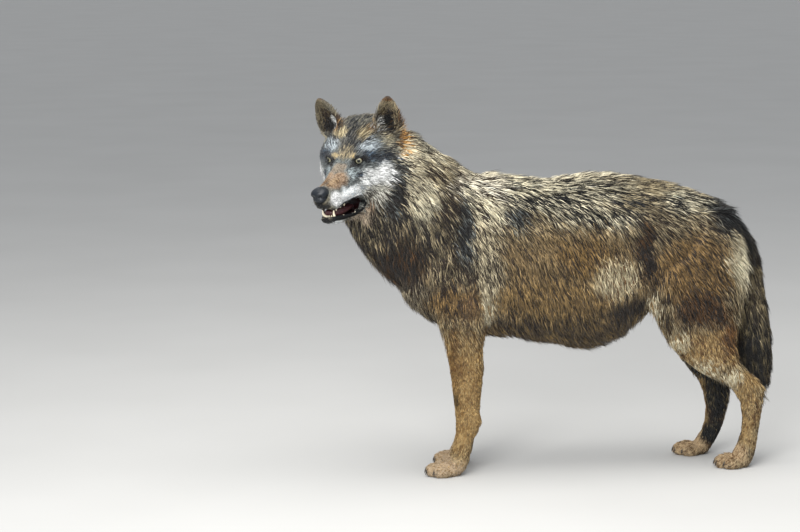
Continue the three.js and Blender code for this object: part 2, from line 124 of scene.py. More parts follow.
def lattice_value(cells, seed):
    """A repeatable number from 0 to 1 for each whole-numbered cell."""
    mixed = cells @ CELL_KEYS + seed * SEED_KEY
    mixed = (mixed ^ (mixed >> 13)) * MIX_KEY
    return ((mixed ^ (mixed >> 16)) & LOW_BITS) / LOW_BITS


def noise(places, size, seed):
    """Value noise from -1 to 1: lattice numbers at steps of size, mixed smoothly in between."""
    scaled = places / np.asarray(size, float)
    cell = np.floor(scaled).astype(np.int64)
    part = scaled - cell
    part = part * part * (3 - 2 * part)
    total = np.zeros(len(places))
    for corner in np.ndindex(2, 2, 2):
        corner = np.array(corner)
        share = np.prod(np.where(corner, part, 1 - part), axis=1)
        total += share * lattice_value(cell + corner, seed)
    return 2 * total - 1


def waves(places, size, seed):
    """Three noises side by side, to move places by."""
    return np.stack([noise(places, size, seed + k) for k in range(3)], axis=1)


def read_off(path, values):
    """The second coordinate of a path of pairs at the given first coordinates."""
    return np.interp(values, *zip(*path))


def side_name(side):
    return "left" if side > 0 else "right"


def colour(hexadecimal):
    """An sRGB hex number as a linear colour."""
    srgb = np.array([(hexadecimal >> shift) & 255 for shift in (16, 8, 0)]) / 255
    return np.where(srgb <= 0.04045, srgb / 12.92, ((srgb + 0.055) / 1.055) ** 2.4)


# ---- meshes ----------------------------------------------------------------------------------------

def mesh_object(name, vertices, corners, sizes, smooth=True):
    """An object at the origin from vertices, face corners in a row, and each face's corner count."""
    mesh = bpy.data.meshes.new(name)
    mesh.vertices.add(len(vertices))
    mesh.vertices.foreach_set("co", np.ascontiguousarray(vertices, np.float32).ravel())
    mesh.loops.add(len(corners))
    mesh.loops.foreach_set("vertex_index", np.ascontiguousarray(corners, np.int32))
    mesh.polygons.add(len(sizes))
    starts = np.concatenate([[0], np.cumsum(sizes)[:-1]]).astype(np.int32)
    mesh.polygons.foreach_set("loop_start", starts)
    mesh.update(calc_edges=True)
    mesh.validate()
    if smooth:
        mesh.shade_smooth()
    made = bpy.data.objects.new(name, mesh)
    bpy.context.scene.collection.objects.link(made)
    return made


def faces_object(name, vertices, faces):
    """An object whose faces all have as many corners as the array of faces has columns."""
    return mesh_object(name, vertices, faces.ravel(), np.full(*faces.shape))


def grid_faces(rows, columns):
    """Corners of the quads of a grid of points, whose columns close on themselves."""
    row, column = np.meshgrid(np.arange(rows - 1), np.arange(columns), indexing="ij")
    following = (column + 1) % columns
    return np.stack([
        row * columns + column, row * columns + following,
        (row + 1) * columns + following, (row + 1) * columns + column,
    ], axis=-1).reshape(-1, 4)


def halved(quads):
    """Quads as triangles."""
    return np.concatenate([quads[:, [0, 1, 2]], quads[:, [0, 2, 3]]])


def arrays_of(mesh):
    """Vertices and triangles of a mesh."""
    vertices = np.zeros(len(mesh.vertices) * 3, np.float32)
    mesh.vertices.foreach_get("co", vertices)
    mesh.calc_loop_triangles()
    triangles = np.zeros(len(mesh.loop_triangles) * 3, np.int32)
    mesh.loop_triangles.foreach_get("vertices", triangles)
    return vertices.reshape(-1, 3).astype(float), triangles.reshape(-1, 3)


def face_normals(vertices, triangles):
    """The cross product of two sides of each triangle: its normal, twice its area long."""
    a, b, c = (vertices[triangles[:, k]] for k in range(3))
    return np.cross(b - a, c - a)


def gathered(count, index, values):
    """For each of count vertices, the sum of the values whose index names it."""
    return np.stack([np.bincount(index, values[:, k], count) for k in range(values.shape[1])], axis=1)


def vertex_normals(vertices, triangles):
    """Unit normals of the vertices, each the sum of its triangles' normals."""
    across = face_normals(vertices, triangles)
    return unit(sum(gathered(len(vertices), triangles[:, k], across) for k in range(3)))


def edges_of(triangles):
    """Each edge of the triangles once, as its lower and its higher vertex."""
    pairs = np.sort(np.concatenate([triangles[:, [k, (k + 1) % 3]] for k in range(3)]), axis=1)
    keys = np.unique(pairs[:, 0].astype(np.int64) * (1 << 32) + pairs[:, 1])
    return np.stack([keys >> 32, keys & 0xFFFFFFFF], axis=1)


def relaxed(values, edges, steps, pull=0.5, release=0.0):
    """Each value moved towards the mean of its neighbours by pull, then away from it by release."""
    ends = np.concatenate([edges[:, 0], edges[:, 1]])
    others = np.concatenate([edges[:, 1], edges[:, 0]])
    degree = np.maximum(np.bincount(ends, minlength=len(values)), 1)[:, None]
    for _ in range(steps):
        for amount in (pull, -release) if release else (pull,):
            mean = gathered(len(values), ends, values[others]) / degree
            values = values + amount * (mean - values)
    return values


def finished(name, source, *modifiers):
    """A copy of an object with modifiers applied, each a type and its settings. The source goes."""
    for kind, settings in modifiers:
        modifier = source.modifiers.new(kind, kind)
        for key, value in settings.items():
            setattr(modifier, key, value)
    evaluated = source.evaluated_get(bpy.context.evaluated_depsgraph_get())
    mesh = bpy.data.meshes.new_from_object(evaluated)
    bpy.data.objects.remove(source)
    mesh.name = name
    made = bpy.data.objects.new(name, mesh)
    bpy.context.scene.collection.objects.link(made)
    return made


def place_piece(piece, slot, finish, *nodes):
    """Gives a piece its finish, hangs it from the root and hides the solids that it stands for. The slot is
    not used.
    """
    piece.data.materials.clear()
    piece.data.materials.append(finish)
    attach(piece, "root")
    if nodes:
        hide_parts(*nodes)


# ---- spots of the coat -----------------------------------------------------------------------------
# Where a spot lies (body or head place), how far it reaches, which way its hair lies, and then in
# millimetres the hair's length, how steeply it rises (0 to 1), how deep the coat is and a lock's width.
# A body spot's lie is (outwards, back, up), a head spot's (outwards, forward, up).

BODY_SPOTS = {
    "withers": ((20, -300, 745), 70, (0, 1, -0.15), 56, 0.30, 13, 2.2),
    "back": ((20, -100, 728), 80, (0, 1, -0.30), 50, 0.28, 11, 2.1),
    "rump": ((20, 160, 705), 80, (0, 1, -0.25), 44, 0.28, 8, 2.1),
    "croup": ((20, 320, 640), 60, (0, 0.7, -0.75), 44, 0.30, 6, 2),
    "shoulder_top": ((95, -300, 660), 60, (0.1, 0.55, -0.85), 48, 0.25, 12, 2.1),
    "mantle": ((88, -160, 692), 45, (0.1, 0.42, -0.90), 42, 0.28, 11, 2.0),
    "shoulder": ((125, -330, 560), 60, (0, 0.35, -0.95), 42, 0.22, 10, 1.9),
    "upper_arm": ((105, -350, 450), 50, (0, 0.20, -1), 28, 0.20, 6.5, 1.9),
    "ribs_high": ((125, -120, 650), 80, (0, 0.48, -0.88), 46, 0.26, 11, 2.1),
    "ribs": ((142, -80, 540), 80, (0, 0.40, -0.92), 44, 0.25, 11, 2.1),
    "ribs_low": ((125, -80, 430), 65, (-0.1, 0.24, -0.97), 46, 0.30, 12.5, 2.1),
    "belly": ((40, -60, 320), 70, (0, 0.65, -0.6), 38, 0.40, 12.5, 2.1),
    "flank": ((120, 90, 540), 60, (0, 0.15, -0.99), 42, 0.25, 10, 1.9),
    "flank_fold": ((100, 120, 440), 45, (0, 0.02, -1), 40, 0.35, 8.5, 1.9),
    "hip": ((120, 200, 620), 60, (0, 0.75, -0.65), 40, 0.24, 9, 1.9),
    "thigh": ((120, 240, 500), 70, (0, 0.50, -0.87), 34, 0.22, 8, 1.7),
    "thigh_rear": ((80, 370, 480), 55, (0, 0.50, -0.87), 44, 0.36, 4, 1.8),
    "thigh_low": ((100, 260, 380), 45, (0, 0.42, -0.92), 24, 0.22, 5.5, 1.5),
    "breeches": ((80, 350, 350), 35, (0, 0.55, -0.85), 28, 0.35, 5.5, 1.8),
    "breast": ((50, -470, 560), 60, (0.1, 0.05, -1), 52, 0.30, 8.5, 1.9),
    "brisket": ((40, -400, 400), 45, (0, 0.30, -0.95), 38, 0.32, 4, 1.9),
    "elbow_pit": ((30, -330, 370), 40, (0, 0.60, -0.80), 28, 0.25, 5, 2.0),
    "nape": ((30, -470, 815), 55, (0, 0.85, -0.50), 58, 0.30, 16, 2),
    "nape_front": ((40, -555, 850), 40, (0, 0.85, -0.35), 40, 0.40, 10.5, 1.7),
    "neck_high": ((100, -440, 730), 50, (0, 0.60, -0.80), 56, 0.28, 16, 2),
    "neck_low": ((110, -420, 600), 55, (0, 0.35, -0.95), 56, 0.30, 17, 2),
    "throat": ((40, -530, 640), 55, (0, 0.25, -0.97), 48, 0.32, 14.5, 1.9),
    "tail_root": ((20, 385, 560), 40, (0, 0.30, -0.95), 46, 0.25, 6, 2.1),
    "tail": ((30, 415, 400), 70, (0.15, 0.15, -1), 56, 0.22, 5, 2.2),
    "tail_tip": ((15, 435, 230), 50, (0, 0.15, -1), 50, 0.20, 10, 2),
    "foreleg": ((78, -330, 270), 45, (0, 0.15, -1), 14, 0.16, 2.5, 1.4),
    "foreleg_rear": ((75, -275, 300), 28, (0, 0.50, -0.87), 19, 0.32, 3.5, 1.5),
    "wrist": ((66, -320, 120), 35, (0, 0.05, -1), 12, 0.16, 2.5, 1.3),
    "wrist_tuft": ((66, -285, 112), 14, (0, 0.60, -0.80), 17, 0.45, 3.5, 1.2),
    "forepaw": ((64, -372, 42), 20, (0, -0.75, -0.60), 10, 0.20, 2, 1.2),
    "foretoes": ((64, -412, 20), 18, (0, -0.85, -0.50), 8, 0.22, 1.5, 1.1),
    "heel": ((64, -326, 22), 16, (0, 0.20, -1), 9, 0.20, 1.5, 1.2),
    "gaskin": ((84, 280, 280), 40, (0, 0.35, -0.93), 16, 0.18, 3.5, 1.5),
    "hock": ((83, 400, 210), 30, (0, 0.25, -0.95), 14, 0.20, 2.5, 1.4),
    "cannon": ((82, 395, 110), 35, (0, 0, -1), 12, 0.16, 2.5, 1.3),
    "hind_paw": ((82, 335, 42), 20, (0, -0.75, -0.60), 10, 0.20, 2, 1.2),
    "hind_toes": ((82, 305, 20), 18, (0, -0.85, -0.50), 8, 0.22, 1.5, 1.1),
}
HEAD_SPOTS = {
    "nose_top": ((0, 105, -30), 18, (0, -1, 0.15), 4, 0.14, 1, 0.8),
    "muzzle": ((0, 70, -22), 24, (0, -1, 0.2), 5, 0.14, 1.5, 0.8),
    "muzzle_side": ((24, 80, -58), 24, (0.10, -0.90, -0.35), 5, 0.16, 1.5, 0.8),
    "upper_lip": ((32, 48, -84), 18, (0.10, -0.70, -0.65), 6, 0.18, 1.5, 0.8),
    "bridge": ((0, 30, -8), 20, (0, -1, 0.35), 6, 0.15, 1.5, 0.8),
    "brow": ((28, -8, 20), 20, (0.25, -0.75, 0.60), 9, 0.20, 3, 0.8),
    "forehead": ((0, -25, 45), 28, (0, -0.80, 0.60), 12, 0.20, 4, 1.0),
    "crown": ((10, -80, 85), 32, (0, -1, 0.10), 20, 0.24, 7, 1.3),
    "temple": ((75, -45, 25), 28, (0.40, -0.85, 0.20), 14, 0.20, 5, 1.1),
    "eye_corner": ((54, -4, 2), 12, (0.5, -0.85, 0.05), 7, 0.16, 2.5, 0.8),
    "upper_lid": ((36, 2, 12), 8, (0.45, -0.80, 0.40), 6, 0.14, 1, 0.8),
    "lower_lid": ((38, 4, -12), 8, (0.50, -0.80, -0.30), 6, 0.14, 1, 0.8),
    "under_eye": ((50, 0, -25), 20, (0.45, -0.85, -0.30), 8, 0.18, 2.5, 0.8),
    "cheek": ((80, -40, -45), 28, (0.50, -0.80, -0.30), 16, 0.17, 7, 1.2),
    "jowl": ((60, -30, -98), 26, (0.35, -0.75, -0.60), 20, 0.26, 7, 1.2),
    "ruff": ((105, -95, -40), 34, (0.45, -0.70, -0.55), 44, 0.32, 14, 1.6),
    "ruff_low": ((85, -70, -120), 34, (0.30, -0.65, -0.75), 42, 0.32, 14, 1.6),
    "under_jaw": ((18, 20, -141), 24, (0, -0.90, -0.30), 9, 0.20, 2.5, 0.9),
    "chin": ((8, 88, -130), 18, (0, -0.90, -0.20), 5, 0.16, 1.5, 0.8),
    "jaw_root": ((20, -50, -150), 36, (0, -0.70, -0.70), 28, 0.28, 11, 1.4),
    "ear_back": ((95, -105, 95), 30, (0.1, -0.15, 1), 8, 0.18, 0.5, 0.9),
    "ear_root": ((72, -95, 48), 20, (0.1, -0.55, 0.75), 15, 0.28, 3.5, 1.1),
    "ear_foot": ((98, -118, 50), 14, (0.20, -0.60, 0.75), 32, 0.75, 0, 1.3),
    "ear_front": ((50, -74, 60), 12, (-0.45, -0.20, 0.85), 17, 0.60, 0, 1.1),
    "behind_ear": ((106, -140, 26), 22, (0.15, -0.45, 0.75), 42, 0.75, 5, 1.4),
    "ear_tip": ((93, -86, 130), 14, (0, -0.6, 0.6), 3, 0.10, 0, 0.8),
    "ear_inside": ((84, -76, 85), 16, (-0.25, 0.25, 0.95), 14, 0.35, 0, 0.8),
}

SPINE = [(-582, 60), (-560, 46), (-525, 30), (-470, 18), (-400, 8), (-330, 2), (-255, 0)]  # y, x
LEG_TOP, LEG_LOW = 470, 215  # between these heights a right leg moves over from the left one's place
RIGHT_FORELEG_BACK, RIGHT_HINDLEG_BACK = 32, -66
TAIL_FROM, TAIL_WIDE = 370, 40  # behind and within these a place is on the tail, not on a leg


def folded(points):
    """Body and head places folded onto the left side, with the side of each, 1 or -1.

    Distance out is counted from the spine, and the right legs are read where the left ones stand."""
    x, y, z = body_places(points).T
    spine = read_off(SPINE, y)
    body_side = np.where(x >= spine, 1.0, -1.0)
    leg_back = np.where(y < 0, RIGHT_FORELEG_BACK, RIGHT_HINDLEG_BACK)
    over = smooth_step(-z, -LEG_TOP, -LEG_LOW) * leg_back
    is_leg = (y < TAIL_FROM) | (np.abs(x) > TAIL_WIDE)
    body = np.stack([np.abs(x - spine), y - over * (x < 0) * is_leg, z], axis=1)
    head = head_places(points)
    head_side = np.where(head[:, 0] >= 0, 1.0, -1.0)
    head[:, 0] = np.abs(head[:, 0])
    return body, body_side, head, head_side


def coat_at(points):
    """Lie (a direction), length, rise, depth and width of the coat at each point.

    Each spot counts by exp(-distance^2 / (2 reach^2)), shared out so that the counts add up to one."""
    body, body_side, head, head_side = folded(points)
    total = np.zeros((len(points), 8))
    logs = []
    for spots, places in ((BODY_SPOTS, body), (HEAD_SPOTS, head)):
        at = np.array([spot[0] for spot in spots.values()], float)
        reach = np.array([spot[1] for spot in spots.values()], float)
        gaps = (places ** 2).sum(1)[:, None] + (at ** 2).sum(1)[None] - 2 * places @ at.T
        logs.append(-gaps / (2 * reach ** 2))
    highest = np.maximum(logs[0].max(1), logs[1].max(1))[:, None]
    counts = [np.exp(log - highest) for log in logs]
    whole = (counts[0].sum(1) + counts[1].sum(1))[:, None]
    for spots, count, side, axes in (
        (BODY_SPOTS, counts[0], body_side, np.eye(3)),
        (HEAD_SPOTS, counts[1], head_side, HEAD_AXES),
    ):
        rows = np.array([[*unit(np.array(spot[2], float)), *spot[3:]] for spot in spots.values()])
        mixed = count / whole @ rows
        mixed[:, 0] *= side
        total[:, :3] += mixed[:, :3] @ axes
        total[:, 3:7] += mixed[:, 3:]
    return total[:, :3], total[:, 3], total[:, 4], total[:, 5], total[:, 6]


# ---- colours of the coat ---------------------------------------------------------------------------

WHITE, CREAM, BUFF, SAND = 0xFBFCFB, 0xE6DFC8, 0xB6AA8E, 0xA68C60
OCHRE, TAWNY, RUST, TAN = 0xDCAE68, 0x7A5C34, 0x6A5239, 0xB5A186
UMBER, BROWN, BLACK, SLATE = 0x40301E, 0x2A1E12, 0x0F1216, 0x1C2A38
ASH, STEEL, PEARL, SOOT = 0x8A908F, 0x566A7C, 0xCCD6DC, 0x2A2E33
DUN, GOLD = 0x857A60, 0xC4AC80

# Each mark has its middle, its reach along the three axes, the paler and the darker colour of its
# locks, and the share of dark ones. Later marks lie over earlier ones.
BODY_MARKS = {
    "all": ((60, 0, 400), (400, 900, 900), BUFF, UMBER, 0.42),
    "ribs": ((140, -80, 520), (110, 280, 90), 0xA89470, UMBER, 0.37),
    "ribs_low": ((130, -100, 430), (110, 240, 60), 0xAC9468, UMBER, 0.27),
    "belly": ((70, -60, 340), (120, 280, 66), 0x94805A, UMBER, 0.52),
    "back": ((90, -110, 700), (100, 230, 60), CREAM, BLACK, 0.56),
    "withers": ((70, -285, 715), (90, 80, 55), 0xEEE8D8, UMBER, 0.38),
    "topline": ((0, -60, 752), (70, 330, 28), CREAM, UMBER, 0.32),
    "dark_streaks": ((95, -118, 674), (60, 112, 32), CREAM, BLACK, 0.70),
    "dark_spot": ((126, -202, 638), (50, 30, 24), ASH, BLACK, 0.80),
    "saddle": ((125, 10, 634), (60, 130, 26), CREAM, BLACK, 0.66),
    "saddle_end": ((110, 120, 668), (60, 70, 26), BUFF, SOOT, 0.55),
    "ribs_ochre": ((140, -20, 535), (60, 76, 40), 0xAC9160, UMBER, 0.34),
    "flank_pale": ((132, 40, 484), (58, 62, 50), 0xDCD2B6, TAWNY, 0.30),
    # brown hair, and painted shade where the lower flank turns under towards the belly
    "flank_brown_and_shade": ((114, 78, 398), (60, 58, 32), 0x6A5A44, BROWN, 0.64),
    "fold_fringe": ((95, 138, 420), (44, 16, 40), CREAM, SAND, 0.45),
    "hip": ((125, 220, 610), (80, 130, 70), BUFF, UMBER, 0.56),
    "thigh": ((125, 240, 500), (90, 120, 90), SAND, UMBER, 0.42),
    "flank_fold": ((124, 118, 545), (60, 30, 84), TAWNY, BROWN, 0.84),
    "thigh_low": ((115, 262, 400), (80, 84, 50), TAWNY, BROWN, 0.50),
    "thigh_rear": ((90, 364, 505), (60, 40, 70), CREAM, BUFF, 0.16),
    "rump": ((90, 260, 670), (90, 90, 36), CREAM, BLACK, 0.54),
    "croup": ((60, 350, 628), (90, 66, 52), ASH, BLACK, 0.88),
    "seat": ((25, 412, 560), (70, 40, 110), SLATE, BLACK, 0.90),
    "tail": ((0, 405, 380), (70, 60, 200), DUN, UMBER, 0.56),
    "tail_rear": ((0, 460, 400), (50, 26, 190), DUN, BLACK, 0.80),
    "tail_low": ((30, 405, 300), (50, 44, 60), 0x8E8668, UMBER, 0.50),
    "tail_tip": ((0, 440, 205), (60, 60, 44), DUN, BROWN, 0.64),
    "gaskin": ((90, 300, 300), (70, 90, 66), GOLD, TAWNY, 0.36),
    "gaskin_rust": ((110, 332, 330), (60, 28, 44), 0xA07C50, RUST, 0.55),
    "gaskin_front": ((90, 152, 378), (44, 18, 40), CREAM, SAND, 0.42),
    "gaskin_edge": ((105, 205, 312), (44, 24, 36), CREAM, SAND, 0.42),
    "gaskin_low": ((110, 278, 256), (44, 40, 24), CREAM, SAND, 0.46),
    "hock": ((90, 390, 190), (30, 60, 60), GOLD, TAWNY, 0.22),
    "hock_front": ((90, 340, 222), (30, 34, 26), CREAM, SAND, 0.36),
    "cannon": ((84, 390, 110), (30, 60, 80), 0xB29C74, TAWNY, 0.40),
    # painted shade on the hind legs' inner sides, where the far leg stands in shade; partly also the darker
    # look of wet hair
    "inner_hind_shade": ((50, 390, 170), (32, 120, 200), DUN, BLACK, 0.86),
    "inner_gaskin_shade": ((52, 340, 225), (32, 100, 75), DUN, SOOT, 0.58),
    "shoulder": ((120, -360, 560), (70, 90, 110), BUFF, UMBER, 0.70),
    "neck": ((110, -440, 640), (90, 90, 110), BUFF, BROWN, 0.66),
    "nape": ((40, -440, 800), (80, 110, 60), CREAM, UMBER, 0.52),
    "breast": ((60, -480, 520), (110, 70, 90), TAWNY, BROWN, 0.72),
    "throat": ((50, -560, 620), (90, 60, 80), BUFF, BROWN, 0.78),
    "brisket": ((50, -440, 440), (70, 56, 54), 0xB8AE98, UMBER, 0.56),
    "shoulder_stripe": ((130, -322, 605), (70, 26, 90), ASH, BLACK, 0.64),
    "stripe_top": ((95, -306, 700), (44, 18, 44), CREAM, BLACK, 0.52),
    "shoulder_top": ((118, -262, 655), (60, 44, 46), CREAM, UMBER, 0.34),
    "pale_band": ((130, -272, 530), (60, 34, 110), 0xD4CAB0, UMBER, 0.44),
    "neck_streak": ((120, -420, 692), (60, 42, 70), CREAM, UMBER, 0.22),
    "shoulder_brown": ((123, -362, 668), (50, 30, 50), BUFF, UMBER, 0.74),
    "upper_arm": ((95, -340, 430), (70, 90, 50), SAND, UMBER, 0.44),
    "arm_rust": ((118, -318, 425), (60, 24, 50), 0x98805C, RUST, 0.44),
    "foreleg": ((75, -320, 205), (70, 110, 190), 0xBCA478, 0x94784C, 0.42),
    "foreleg_front": ((75, -350, 300), (50, 16, 90), SAND, TAWNY, 0.50),
    "elbow": ((95, -268, 430), (34, 26, 56), CREAM, SAND, 0.24),
    "foreleg_rear": ((75, -272, 250), (34, 14, 90), 0xC8B894, SAND, 0.50),
    "wrist_smudge": ((74, -352, 186), (22, 12, 22), 0x8E784E, UMBER, 0.40),
    "forepaw": ((64, -380, 20), (55, 66, 30), 0xC4B29A, SAND, 0.26),
    "hind_paw": ((82, 335, 20), (55, 66, 34), 0xC8B496, TAWNY, 0.34),
}
HEAD_MARKS = {
    "all": ((0, -10, -10), (128, 150, 150), ASH, SOOT, 0.46),
    "forehead": ((0, -44, 44), (62, 48, 36), 0x94928A, SOOT, 0.64),
    "crown": ((20, -95, 80), (50, 40, 24), 0x9A978A, SOOT, 0.60),
    "cream_patch": ((36, -62, 57), (24, 20, 15), 0xD2C6A6, DUN, 0.54),
    "brow_middle": ((4, -14, 22), (18, 28, 20), BUFF, SOOT, 0.60),
    "furrow": ((5, -66, 60), (5, 40, 12), SOOT, BLACK, 0.55),
    "temple": ((58, -34, 28), (34, 30, 17), 0xC6CED2, SLATE, 0.42),
    "slate_front": ((68, -26, 7), (24, 22, 14), 0x5C7082, SLATE, 0.76),
    "slate_back": ((96, -52, -8), (28, 28, 20), 0x465C70, SLATE, 0.92),
    "under_eye": ((40, 20, -22), (20, 20, 14), 0xBCC6C8, SOOT, 0.44),
    "jowl": ((74, -10, -92), (40, 34, 32), 0xD2D1C8, UMBER, 0.30),
    "jowl_tan": ((56, 2, -122), (16, 20, 14), 0xA4907C, UMBER, 0.46),
    "cheek": ((72, -8, -44), (34, 30, 26), WHITE, ASH, 0.20),
    "cheek_spot": ((53, 9, -31), (12, 12, 8), STEEL, SOOT, 0.70),
    "cheek_white": ((98, -40, -43), (33, 34, 31), WHITE, WHITE, 0.02),
    "muzzle": ((14, 66, -30), (20, 44, 20), 0xB4A08A, RUST, 0.48),
    "bridge": ((4, 26, -10), (14, 26, 12), 0xA49A8C, UMBER, 0.40),
    "rust": ((12, 84, -28), (11, 22, 11), TAN, RUST, 0.60),
    "lip_white": ((42, 56, -70), (26, 74, 24), WHITE, PEARL, 0.30),
    "whisker_pad": ((25, 98, -62), (14, 26, 17), WHITE, SLATE, 0.26),
    "tear_line": ((30, 14, -7), (8, 13, 6), UMBER, BLACK, 0.66),
    "eye_rim": ((41, 0, 0), (20, 14, 14), SOOT, BLACK, 0.80),
    "eye_corner": ((59, -15, 6), (13, 10, 7), SOOT, BLACK, 0.84),
    "brow": ((22, -5, 12), (10, 10, 7), 0xC6B692, BUFF, 0.30),
    "nose_foot": ((0, 126, -76), (25, 14, 17), BLACK, BLACK, 0.94),
    "chin": ((12, 98, -115), (24, 36, 8), SOOT, BLACK, 0.90),
    "under_jaw": ((25, 0, -148), (40, 68, 22), 0xC4B6A4, UMBER, 0.22),
    "chin_rim": ((10, 96, -128), (28, 38, 8), WHITE, PEARL, 0.30),
    "ruff": ((130, -95, -50), (24, 40, 76), CREAM, UMBER, 0.40),
    "ruff_dark_0": ((122, -76, -24), (18, 20, 19), STEEL, BLACK, 0.88),
    "ruff_dark_1": ((124, -70, -48), (15, 17, 27), ASH, BLACK, 0.76),
    "ruff_dark_2": ((121, -56, -74), (17, 20, 26), ASH, BLACK, 0.80),
    "ruff_dark_3": ((116, -42, -102), (22, 26, 28), ASH, BLACK, 0.74),
    "ruff_dark_4": ((108, -30, -136), (28, 30, 34), ASH, BROWN, 0.80),
    "ear_tuft_white": ((122, -96, -10), (12, 16, 12), WHITE, BUFF, 0.22),
    "ear_back": ((98, -122, 95), (30, 20, 60), TAWNY, BROWN, 0.55),
    "ear_patch": ((108, -134, 30), (30, 22, 34), OCHRE, TAWNY, 0.12),
    "ear_patch_low": ((122, -108, -2), (20, 14, 17), OCHRE, TAWNY, 0.24),
    "ear_line": ((104, -87, 15), (9, 11, 8), UMBER, BLACK, 0.74),
    "ear_front": ((50, -80, 69), (15, 15, 22), 0xB89A6C, TAWNY, 0.40),
    "ear_crease": ((44, -78, 66), (6, 16, 12), UMBER, BLACK, 0.70),
    "ear_inside": ((76, -84, 70), (28, 16, 46), DUN, UMBER, 0.72),
    "ear_hair": ((64, -90, 60), (14, 15, 28), WHITE, ASH, 0.30),
    "ear_hair_low": ((90, -78, 32), (16, 13, 14), CREAM, BUFF, 0.25),
    "ear_hollow": ((82, -104, 68), (14, 18, 48), UMBER, BLACK, 0.90),
    "ear_tip": ((93, -88, 134), (18, 18, 9), TAWNY, UMBER, 0.50),
}


BODY_WAVE, HEAD_WAVE = 16, 4  # millimetres that a mark's border wanders
BODY_WAVE_SIZE, HEAD_WAVE_SIZE = 46, 16  # and over how many it does so
FRAY, FRAY_SIZE = 0.12, 9  # how far a mark's border frays, as a share of its reach
FULL, GONE = 0.60, 1.25  # a mark is whole up to the first share of its reach and ends at the second
STREAK, STREAK_SIZE = 0.22, (30, 9, 34)  # how much the share of dark locks runs in streaks
STREAK_LEAST = 0.2  # how much so where that share is nought
FRAY_SEED, STREAK_SEED, BODY_SEED, HEAD_SEED = 5, 7, 20, 30
MIXING = 0.14  # half the range over which a lock goes from pale to dark
DEEPEN = 1.32  # power that darkens the middle tones and leaves white as it is


def colours_at(points, wild=0.5):
    """The coat's colour at each point, as linear RGB: the dark colour of the marks where wild, a number
    from 0 to 1 for each lock, falls under the share of dark locks, and the pale colour elsewhere."""
    body, _, head, _ = folded(points)
    pale, dark = np.zeros((len(points), 3)), np.zeros((len(points), 3))
    share = np.zeros(len(points))
    fray = FRAY * noise(body, FRAY_SIZE, FRAY_SEED)
    body_wave = waves(body, BODY_WAVE_SIZE, BODY_SEED) * BODY_WAVE
    head_wave = waves(head, HEAD_WAVE_SIZE, HEAD_SEED) * HEAD_WAVE
    for marks, places in ((BODY_MARKS, body + body_wave), (HEAD_MARKS, head + head_wave)):
        for at, reach, pale_hex, dark_hex, dark_share in marks.values():
            far = np.sqrt((((places - np.array(at)) / np.array(reach)) ** 2).sum(1))
            cover = 1 - smooth_step(far + fray, FULL, GONE)
            pale += cover[:, None] * (colour(pale_hex) - pale)
            dark += cover[:, None] * (colour(dark_hex) - dark)
            share += cover * (dark_share - share)
    share = share + STREAK * noise(body, STREAK_SIZE, STREAK_SEED) * (STREAK_LEAST + share)
    darkness = smooth_step(share - wild, -MIXING, MIXING)[:, None]
    return (pale + darkness * (dark - pale)) ** DEEPEN


# ---- skin ------------------------------------------------------------------------------------------

FLESH = ["head", "jaw", "neck", "trunk", "tail", "ear_left", "ear_right",
         "foreleg_left", "foreleg_right", "hindleg_left", "hindleg_right"]
OVERLAP = 0.7 * MM  # how far each solid is swelled, so that the cuts between them close
EAR_OVERLAP = 2.0 * MM  # an ear's thin rim is swelled more, as smoothing takes it back
SKIN_VOXEL = 2.6 * MM
SKIN_TRIANGLES = 150_000

# The solids' own teeth, flattened into the gums: middle, radius, and the level they are pressed to.
GUM_PLACES = [
    ((18, 86), 4.4, -98, -79, -79), ((13, 97), 5, -107, -80, -108), ((0, 101), 12, -106, -95, -108),
]

# How the skin is smoothed, as steps, pull and release: whole, behind the head, at each step of
# drawing in, and at the end.
WHOLE_SMOOTHING, BACK_SMOOTHING = (8, 0.6, 0.63), (30, 0.6, 0.62)
DRAWN_SMOOTHING, LAST_SMOOTHING = (1, 0.5, 0.52), (3, 0.6, 0.62)
BACK_SMOOTHED = (60, 120)  # how far behind the eyes the second begins and is full
ABOVE_PAWS = (60 * MM, 140 * MM)
DRAWING_STEPS = 4  # the skin is drawn in by the coat's depth in this many steps
EVENING = 8  # steps by which depth and normals are evened out
SKIN_FLOOR, HAIR_FLOOR = 0.3 * MM, 0.4 * MM  # the lowest that skin and hair may reach
FINE_WITHIN, COARSE_BEYOND = 120, 200  # around the eyes the skin keeps more of its triangles
BANDS = 10  # steps from fine to coarse
LEAST_THINNED = 0.15  # share of the thinning at the eyes
NECK_CUT = (0.9, 0.43)  # forward and up parts of the way across the plane between head and neck

# Brushes on the head's skin: middle (left, forward, up), reach, and how far it rises (or sinks) in mm.
HEAD_BRUSHES = {
    "brow": ((30, 4, 13), (13, 10, 7), 2.4),
    "stop": ((0, 8, -2), (8, 22, 12), -2.6),
    "furrow": ((0, -28, 46), (5, 34, 22), -2.6),
    "cheekbone": ((60, -14, -20), (14, 18, 8), 2.6),
    "under_eye": ((43, 14, -21), (10, 12, 8), -2.2),
    "muzzle_hollow": ((24, 48, -45), (9, 24, 12), -2.4),
    "whisker_pad": ((22, 94, -64), (10, 20, 13), 2.0),
    "temple": ((72, -52, 32), (18, 20, 16), -2.0),
    "lip_fold": ((40, 10, -76), (8, 30, 6), 1.8),
    "bridge_groove": ((0, 66, -22), (4, 40, 8), -0.8),
    "nape_dip": ((0, -112, 78), (30, 16, 16), -2.0),
}


def before_neck(head):
    """How far a head place lies ahead of the slanted plane through the point between the eyes."""
    return NECK_CUT[0] * head[:, 1] + NECK_CUT[1] * head[:, 2]


def pressed_teeth(places):
    """Head places whose tooth points are moved to the gum's level."""
    left, forward, up = np.abs(places[:, 0]), places[:, 1], places[:, 2]
    level = up.copy()
    for (at_left, at_forward), radius, low, high, gum in GUM_PLACES:
        near = np.hypot(left - at_left, forward - at_forward) < radius
        level[near & (up > low) & (up < high)] = gum
    return np.stack([places[:, 0], forward, level], axis=1)


